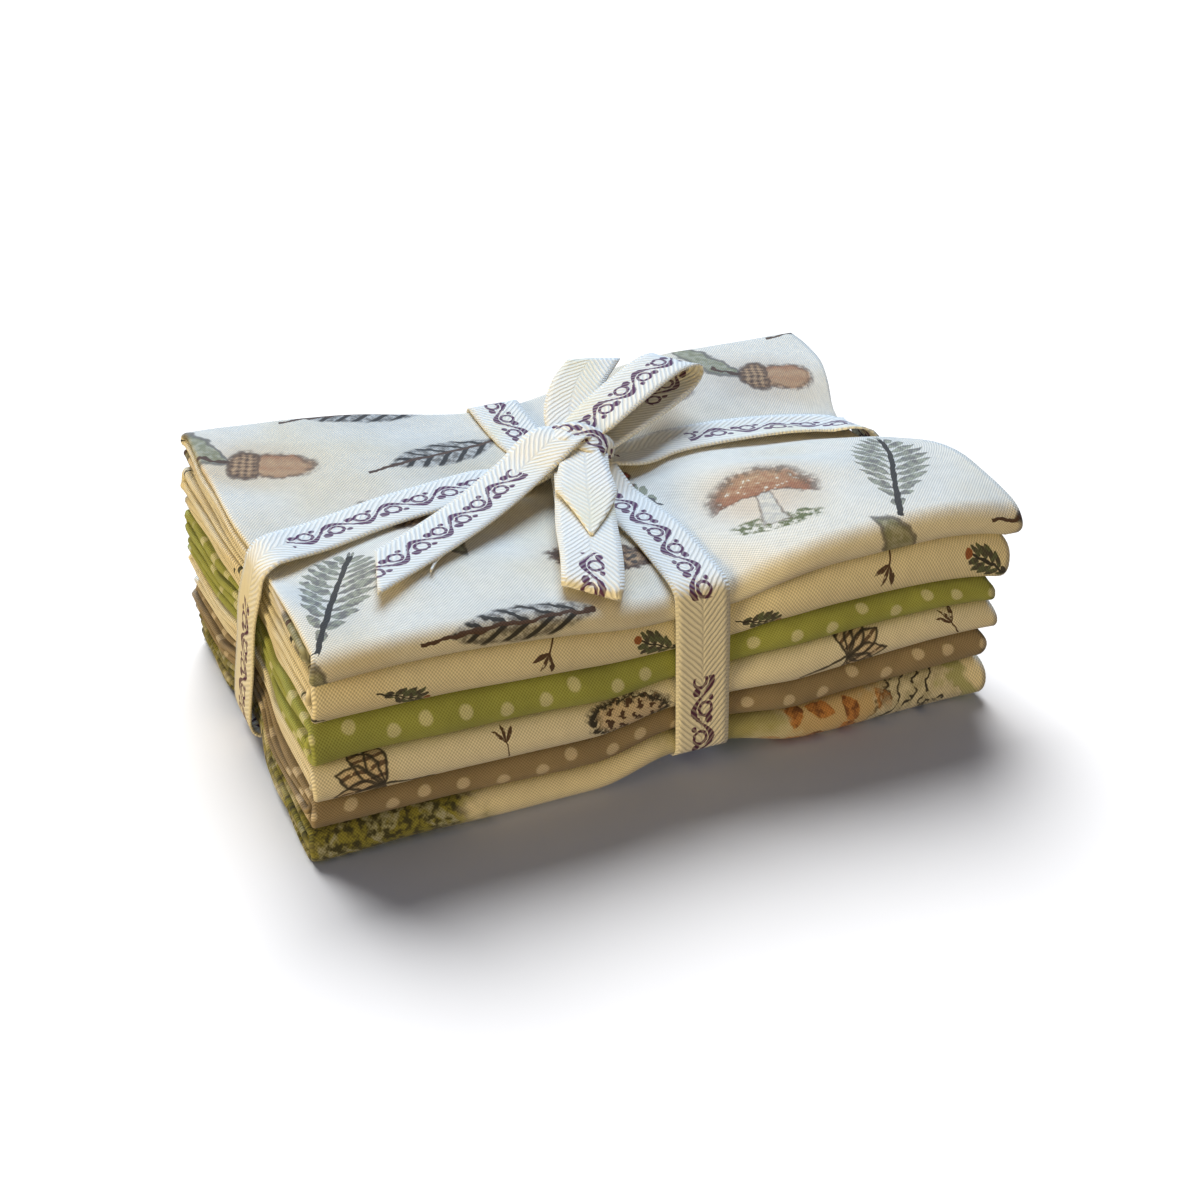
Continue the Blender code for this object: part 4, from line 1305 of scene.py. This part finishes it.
def cotton_material(name, paint, colours):
    material, tree, shader = new_material(name)
    flat = flat_cut(tree)
    weave = plain_weave(flat)
    worn = cloudy(flat, 3.0, 3.0, 5.0)
    # Painted shade between the threads and painted highlight on their crossings, with random unevenness from
    # worn
    shade = 0.45 + 0.62 * weave + 0.14 * worn
    finish_weave(tree, shader, paint(flat, colours), shade, weave * 0.8 + worn * 0.6, COTTON_RELIEF)
    shader.inputs["Roughness"].default_value = COTTON_ROUGHNESS
    shader.inputs["Sheen Weight"].default_value = COTTON_SHEEN
    shader.inputs["Sheen Roughness"].default_value = SHEEN_ROUGHNESS
    return material


DOT_SPACING = 9.8
DOT_RADIUS = 1.7
DOT_EDGE = 0.40
DOT_SCATTER = 0.38


def scattered_dots(flat):
    """Soft-edged dots, about evenly scattered: 1 on a dot, 0 off it."""
    away = flat.place.node("ShaderNodeTexVoronoi", {"voronoi_dimensions": "2D"},
                           {"Vector": flat.place, "Scale": 1 / DOT_SPACING, "Randomness": DOT_SCATTER})
    ragged = away * DOT_SPACING + (cloudy(flat, 1.3, 1.0, 3.0) - 0.5) * 0.2
    return ragged.fade(DOT_RADIUS - DOT_EDGE, DOT_RADIUS + DOT_EDGE)


def cream_ground(flat, cream, wash):
    """Cream with wide, soft washes."""
    return (cloudy(flat, 46.0, 2.0, 1.0).soft_step(0.42, 0.72) * 0.7).colour_mix(cream, wash)


def dotted(flat, ground, dots):
    """A slightly uneven ground with dots."""
    dark = [0.93 * part for part in ground]
    light = [1.07 * part for part in ground]
    patchy = cloudy(flat, 14.0, 3.0, 9.0).speckle(0.3, 0.7, dark, light)
    return (scattered_dots(flat) * 0.9).colour_mix(patchy, dots)


def paint_top(flat, colours):
    ground = cream_ground(flat, colours.cream, colours.tan_wash)
    return with_motifs(flat, ground, TOP_MOTIFS, TOP_REPEAT, 2.1, 2.6)


def paint_sprigs(flat, colours):
    ground = cream_ground(flat, colours.yellow_cream, colours.tan_wash)
    return with_motifs(flat, ground, SPRIG_MOTIFS, SPRIG_REPEAT, 1.6, 1.4)


def paint_green(flat, colours):
    return dotted(flat, colours.green, colours.green_dots)


def paint_taupe(flat, colours):
    return dotted(flat, colours.taupe, colours.taupe_dots)


def paint_cones(flat, colours):
    ground = cream_ground(flat, colours.cream, colours.tan_wash)
    return with_motifs(flat, ground, CONE_MOTIFS, CONE_REPEAT, 1.5, 1.6)


# The bottom print's patches: where each starts and ends along the cut, and how soft its edges are
Patch = namedtuple("Patch", "start end soft")
SHADE_PATCH = Patch(4.0, 12.0, 2.0)
BARK_PATCH = Patch(12.0, 34.0, 2.0)
EARTH_PATCH = Patch(33.0, 60.0, 2.0)
LITTER_PATCH = Patch(32.0, 62.0, 3.0)
OLIVE_PATCH = Patch(62.0, 92.0, 8.0)
MOSS_PATCH = Patch(146.0, 190.0, 6.0)
OLIVE_WASH = (0.30, 0.29, 0.10)
GREEN_SHADE = (0.30, 0.33, 0.14)
EARTH = (0.52, 0.36, 0.18)
LICHEN = (0.40, 0.41, 0.36)
BARK_GREY = (0.45, 0.42, 0.33)
BARK_PALE = (0.66, 0.62, 0.52)
LITTER_DARK = (0.16, 0.06, 0.02)
LITTER_LIGHT = (0.50, 0.22, 0.07)
LITTER_SPACING = 9.0
BARK_PITCH = 5.4


def paint_mossy(flat, colours):
    """Moss, pale bark and fallen leaves in soft-edged patches along the cut."""
    grain = cloudy(flat, 2.4, 4.0, 6.0)
    s = flat.s + (cloudy(flat, 13.0, 3.0, 64.0) - 0.5) * 26.0

    def on(patch):
        inside = s.soft_step(patch.start - patch.soft, patch.start + patch.soft)
        return inside * s.fade(patch.end - patch.soft, patch.end + patch.soft)

    swirl = abs(cloudy(flat, 12.0, 3.0, 23.0) - 0.5).fade(0.010, 0.070)
    moss = grain.speckle(0.36, 0.60, MOSS_DARK, MOSS)
    moss = (swirl * grain.soft_step(0.35, 0.65) * 0.8).colour_mix(moss, LICHEN)
    from_bar = abs((s + flat.t * 0.25) % BARK_PITCH - BARK_PITCH / 2)
    bars = from_bar.fade(0.35, 0.95) * grain.soft_step(0.36, 0.46)
    bark = bars.colour_mix(grain.speckle(0.3, 0.7, BARK_GREY, BARK_PALE), INK_BLACK)
    u, v = scattered(flat, LITTER_SPACING, 0.7, 71.0)
    blade = leaf(u + 4.0, v + (grain - 0.5) * 2.0, 8.5, 5.0)
    return laid_over(cream_ground(flat, colours.yellow_cream, colours.tan_wash), (
        (on(OLIVE_PATCH) * 0.85, OLIVE_WASH),
        (on(SHADE_PATCH) * 0.8, GREEN_SHADE),
        (on(BARK_PATCH), bark),
        (on(EARTH_PATCH) * 0.8, EARTH),
        (solid(blade) * on(LITTER_PATCH), grain.speckle(0.35, 0.6, LITTER_DARK, LITTER_LIGHT)),
        (on(MOSS_PATCH), moss),
    ))


PAINTS = {
    "fat_quarter_mossy_leaves": paint_mossy,
    "fat_quarter_taupe_dots": paint_taupe,
    "fat_quarter_cone_sketch": paint_cones,
    "fat_quarter_green_dots": paint_green,
    "fat_quarter_cream_sprigs": paint_sprigs,
    "fat_quarter_top_sprigs": paint_top,
}


RIDGE_PITCH = 1.9
RIDGE_SLOPE = 1.15
SPINE_EDGES = (0.15, 0.55)
SELVAGE_EDGES = (6.3, 6.6)
SELVAGE_PITCH = 1.1
THREAD_PITCH_ALONG = 0.34
THREAD_PITCH_ACROSS = 0.42
GROOVE_SHADE = 0.80
# The yellow tint of the painted warm reflection on the tape
WARM_REFLECTION_TINT = (0.93, 0.86, 0.62)
VINE_REPEAT = 17.0
VINE_SWING = 2.5
PRINTED_LENGTH = 66.0
PRINT_REPEAT = 88.0


def vine_scroll(flat):
    """A plain curling vine along the tape, for part of each repeat and nowhere before 0."""
    rough = (cloudy(flat, 1.4, 1.0, 8.0) - 0.5) * 0.5
    half = VINE_REPEAT / 2
    side = (flat.t % VINE_REPEAT < half) * 2 - 1
    u = flat.t % half - half / 2 + rough
    v = flat.s * side + rough
    wave_line = (u * (pi / half) + pi / 2).sine()
    vine = abs(v - wave_line * VINE_SWING) / (0.44 + 0.40 * wave_line)
    curl = abs(oval(u + 0.2, v + 0.7, 1.15, 1.0) - 1.7) / 0.43
    tail = leaf(u - 1.4, v + 1.7, 3.4, 2.1)
    bud = oval(u + 3.1, v + 2.3, 0.9, 0.7)
    shape = vine.under(curl).under(tail).under(bud)
    shown = (flat.t % PRINT_REPEAT < PRINTED_LENGTH) * (flat.t > 0.0)
    return solid(shape) * shown


def waves(along, pitch):
    """Even waves from 0 to 1."""
    return (along * (2 * pi / pitch)).sine() * 0.5 + 0.5


def tape_material(colours):
    """Herringbone: ridges slant up to a spine on both sides, between two looped selvages."""
    material, tree, shader = new_material("tape_herringbone")
    flat = flat_cut(tree)
    from_spine = abs(flat.s)
    uneven = (cloudy(flat, 3.0, 2.0, 2.0) - 0.5) * 0.7
    ridge = waves(flat.t + from_spine * RIDGE_SLOPE + uneven, RIDGE_PITCH).soft_step(0.02, 0.80)
    spine = from_spine.fade(*SPINE_EDGES)
    selvage = from_spine.soft_step(*SELVAGE_EDGES)
    raised = ridge * (1 - spine * 0.6) * (1 - selvage) + selvage * waves(flat.t, SELVAGE_PITCH)
    along = (flat.t * (2 * pi / THREAD_PITCH_ALONG)).sine()
    across = (flat.s * (2 * pi / THREAD_PITCH_ACROSS)).sine()
    threads = along * across * 0.5 + 0.5
    # The grooves between the ridges, the spine and the gaps between the selvage loops are painted darker:
    # painted shade
    ground = raised.colour_mix([GROOVE_SHADE * part for part in colours.tape], colours.tape)
    # Soft random patches of yellow tint over the tape: painted warm reflection
    warm_reflection = [part * tint for part, tint in zip(colours.tape, WARM_REFLECTION_TINT)]
    with_warm_reflection = (cloudy(flat, 30.0, 1.0, 50.0).soft_step(0.55, 0.75) * 0.5).colour_mix(ground, warm_reflection)
    printed = (vine_scroll(flat) * (0.72 + 0.28 * raised)).colour_mix(with_warm_reflection, colours.tape_print)
    # The tape's threads get painted shade between them as well
    finish_weave(tree, shader, printed, 0.92 + 0.10 * threads, raised + threads * 0.15, TAPE_RELIEF)
    shader.inputs["Roughness"].default_value = TAPE_ROUGHNESS
    return material


def add_piece(name, bm, material, thickness):
    """Links a piece; its place is in its mesh, and a sheet gets its thickness."""
    mesh = bpy.data.meshes.new(name)
    bm.to_mesh(mesh)
    bm.free()
    mesh.materials.append(material)
    mesh.shade_smooth()
    piece = bpy.data.objects.new(name, mesh)
    bpy.context.scene.collection.objects.link(piece)
    if thickness > 0:
        sheet = piece.modifiers.new("thickness", "SOLIDIFY")
        sheet.thickness = thickness
        sheet.offset = 0.0
    return piece


def stands_for(piece, node):
    """Lays a piece in the frame in place of a CAD node."""
    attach(piece, "root")
    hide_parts(node)


def length_setting(name, description, default):
    return bpy.props.FloatProperty(name=name, description=description, default=default, unit="LENGTH",
                                   precision=5)


def angle_setting(name, description, degrees):
    return bpy.props.FloatProperty(name=name, description=description, default=radians(degrees),
                                   subtype="ANGLE")


def strength_setting(name, description, default):
    return bpy.props.FloatProperty(name=name, description=description, default=default)


def colour_setting(name, description, default):
    return bpy.props.FloatVectorProperty(name=name, description=description, default=default,
                                         subtype="COLOR")


class FatQuarterSettings(bpy.types.PropertyGroup):
    """Sizes and colours of the six cuts of cloth."""
    cut_width: length_setting("Cut Width", "Width of one flat fat quarter", 0.457)
    cut_length: length_setting("Cut Length", "Length of one flat fat quarter", 0.559)
    cloth_thickness: length_setting("Cloth Thickness", "Thickness of the cotton", 0.0003)
    cream: colour_setting("Cream", "Ground of the top print and the cone print", (0.80, 0.755, 0.66))
    yellow_cream: colour_setting("Yellow Cream", "Ground of the sprig print and the mossy print",
                                 (0.80, 0.735, 0.58))
    tan_wash: colour_setting("Tan Wash", "Soft washes on the cream prints", (0.76, 0.66, 0.48))
    green: colour_setting("Green", "Ground of the green dotted print", (0.35, 0.385, 0.095))
    green_dots: colour_setting("Green Dots", "Dots on the green print", (0.66, 0.66, 0.42))
    taupe: colour_setting("Taupe", "Ground of the taupe dotted print", (0.30, 0.232, 0.155))
    taupe_dots: colour_setting("Taupe Dots", "Dots on the taupe print", (0.62, 0.53, 0.42))


class TapeSettings(bpy.types.PropertyGroup):
    """Size and colours of the tape."""
    width: length_setting("Tape Width", "Width of the woven tape", 0.0145)
    thickness: length_setting("Tape Thickness", "Thickness of the woven tape", 0.00055)
    tape: colour_setting("Tape", "Colour of the tape's yarn", (0.84, 0.81, 0.74))
    tape_print: colour_setting("Tape Print", "Colour of the ornament on the tape", (0.085, 0.022, 0.075))


class StageSettings(bpy.types.PropertyGroup):
    """Camera and lights."""
    azimuth: angle_setting("Azimuth", "Where the camera stands round the bundle", -23.371)
    elevation: angle_setting("Elevation", "How high the camera looks down", 30.249)
    distance: length_setting("Distance", "From the camera to the point that it looks at", 0.52935)
    aim: bpy.props.FloatVectorProperty(
        name="Aim", description="The point that the camera looks at", default=(-0.0002, -0.00774, 0.025),
        unit="LENGTH", precision=5)
    lens: bpy.props.FloatProperty(
        name="Lens", description="Focal length in millimetres", default=60.0, unit="CAMERA")
    key_strength: strength_setting("Key Strength", "Strength of the cool light from behind", 4.6)
    key_colour: colour_setting("Key Colour", "Colour of the light from behind", (0.60, 0.77, 1.0))
    left_strength: strength_setting("Left Strength", "Strength of the low warm light from the left", 3.9)
    left_colour: colour_setting("Left Colour", "Colour of the light from the left", (1.0, 0.77, 0.36))
    front_strength: strength_setting("Front Strength", "Strength of the low warm light from the front", 1.25)
    front_colour: colour_setting("Front Colour", "Colour of the light from the front", (1.0, 0.69, 0.15))
    floor_strength: strength_setting("Floor Strength", "Strength of the white light on the floor", 5.4)


class BUNDLE_OT_fold_fat_quarters(bpy.types.Operator):
    """Fold the six fat quarters and lay them in a stack"""
    bl_idname = "bundle.fold_fat_quarters"
    bl_label = "Fold the Fat Quarters"

    def execute(self, context):
        settings = context.scene.fat_quarter_cloth
        for index, row in enumerate(PIECES):
            material = cotton_material(row.node + "_print", PAINTS[row.node], settings)
            bm = fold_fat_quarter(index)
            piece = add_piece(row.node + "_cloth", bm, material, settings.cloth_thickness)
            stands_for(piece, row.node)
        return {"FINISHED"}


class BUNDLE_OT_tie_tape(bpy.types.Operator):
    """Lay the tape round the stack and tie it in a bow"""
    bl_idname = "bundle.tie_tape"
    bl_label = "Tie the Tape"

    def execute(self, context):
        settings = context.scene.fat_quarter_tape
        material = tape_material(settings)
        bm, length = tie_tape()
        bow = add_piece("tape_tie_bow", bm, material, settings.thickness)
        stands_for(bow, TAPE_NODE)
        knot = add_piece("tape_tie_knot", knot_core(), material, 0.0)
        stands_for(knot, TAPE_NODE)
        return {"FINISHED"}


# The lights: azimuths count round from the front, with 90 at the right, all in degrees
Sun = namedtuple("Sun", "name azimuth elevation spread")
KEY_SUN = Sun("key_light", 160, 55, 40)
LEFT_SUN = Sun("left_light", -80, 6, 40)
FRONT_SUN = Sun("front_light", -10, 6, 40)
FLOOR_SUN = Sun("floor_light", 174, 45, 48)
WHITE = (1.0, 1.0, 1.0)
AMBIENT = (0.125, 0.13, 0.16)
FLOOR_GREY = 0.9
FLOOR_HALF = 6.0
SENSOR_WIDTH = 36.0
CLIP_START = 0.01


def facing(azimuth, elevation):
    """The direction from the bundle towards a place round it."""
    return Vector((sin(azimuth) * cos(elevation), -cos(azimuth) * cos(elevation), sin(elevation)))


def looking(back):
    """The turn of a light or a camera that looks against a direction."""
    return (-back).to_track_quat("-Z", "Y").to_euler()


def add_sun(sun, strength, colour, receivers):
    """A distant light that falls on some things only."""
    lamp = bpy.data.lights.new(sun.name, "SUN")
    lamp.energy = strength
    lamp.color = colour
    lamp.angle = radians(sun.spread)
    item = bpy.data.objects.new(sun.name, lamp)
    item.rotation_euler = looking(facing(radians(sun.azimuth), radians(sun.elevation)))
    item.light_linking.receiver_collection = receivers
    bpy.context.scene.collection.objects.link(item)


def add_floor():
    bm = bmesh.new()
    bmesh.ops.create_grid(bm, x_segments=1, y_segments=1, size=FLOOR_HALF)
    material, _, shader = new_material("floor_white")
    shader.inputs["Base Color"].default_value = (FLOOR_GREY, FLOOR_GREY, FLOOR_GREY, 1.0)
    shader.inputs["Roughness"].default_value = FLOOR_GREY
    floor = add_piece("floor", bm, material, 0.0)
    floor.visible_diffuse = False
    floor.visible_glossy = False
    return floor


class BUNDLE_OT_set_stage(bpy.types.Operator):
    """Set the floor, the lights, the background and the camera"""
    bl_idname = "bundle.set_stage"
    bl_label = "Set the Stage"

    def execute(self, context):
        scene = context.scene
        settings = scene.fat_quarter_stage
        lit = bpy.data.collections.new("lit_bundle")
        for piece in scene.collection.objects:
            lit.objects.link(piece)
        lit_floor = bpy.data.collections.new("lit_floor")
        lit_floor.objects.link(add_floor())
        add_sun(KEY_SUN, settings.key_strength, settings.key_colour, lit)
        add_sun(LEFT_SUN, settings.left_strength, settings.left_colour, lit)
        add_sun(FRONT_SUN, settings.front_strength, settings.front_colour, lit)
        add_sun(FLOOR_SUN, settings.floor_strength, WHITE, lit_floor)

        world = bpy.data.worlds.new("studio")
        world.use_nodes = True
        scene.world = world
        start = Wire(world.node_tree, None)
        rays = start.node("ShaderNodeLightPath")
        colour = rays.colour_mix(AMBIENT, WHITE)
        background = world.node_tree.nodes["Background"]
        world.node_tree.links.new(colour.socket, background.inputs["Color"])
        background.inputs["Strength"].default_value = 1.0

        scene.view_settings.view_transform = "Standard"
        camera_data = bpy.data.cameras.new("camera")
        camera_data.lens = settings.lens
        camera_data.sensor_width = SENSOR_WIDTH
        camera_data.clip_start = CLIP_START
        camera = bpy.data.objects.new("camera", camera_data)
        back = facing(settings.azimuth, settings.elevation)
        camera.location = Vector(settings.aim) + back * settings.distance
        camera.rotation_euler = looking(back)
        scene.collection.objects.link(camera)
        scene.camera = camera
        return {"FINISHED"}


class BUNDLE_PT_panel(bpy.types.Panel):
    """Lists the steps and the settings of the bundle"""
    bl_idname = "BUNDLE_PT_panel"
    bl_label = "Fat Quarter Bundle"
    bl_space_type = "VIEW_3D"
    bl_region_type = "UI"
    bl_category = "Fat Quarters"

    def draw(self, context):
        layout = self.layout
        for operator in OPERATORS:
            layout.operator(operator.bl_idname)
        for name, group in SETTINGS:
            box = layout.box()
            box.label(text=group.__name__)
            for item in group.__annotations__:
                box.prop(getattr(context.scene, name), item)


SETTINGS = (
    ("fat_quarter_cloth", FatQuarterSettings),
    ("fat_quarter_tape", TapeSettings),
    ("fat_quarter_stage", StageSettings),
)
OPERATORS = (BUNDLE_OT_fold_fat_quarters, BUNDLE_OT_tie_tape, BUNDLE_OT_set_stage)


def register():
    for name, group in SETTINGS:
        bpy.utils.register_class(group)
        setattr(bpy.types.Scene, name, bpy.props.PointerProperty(type=group))
    for operator in OPERATORS:
        bpy.utils.register_class(operator)
    bpy.utils.register_class(BUNDLE_PT_panel)


def unregister():
    bpy.utils.unregister_class(BUNDLE_PT_panel)
    for operator in reversed(OPERATORS):
        bpy.utils.unregister_class(operator)
    for name, group in reversed(SETTINGS):
        delattr(bpy.types.Scene, name)
        bpy.utils.unregister_class(group)


def main():
    register()
    bpy.ops.bundle.fold_fat_quarters()
    bpy.ops.bundle.tie_tape()
    bpy.ops.bundle.set_stage()


if __name__ == "__main__":
    main()
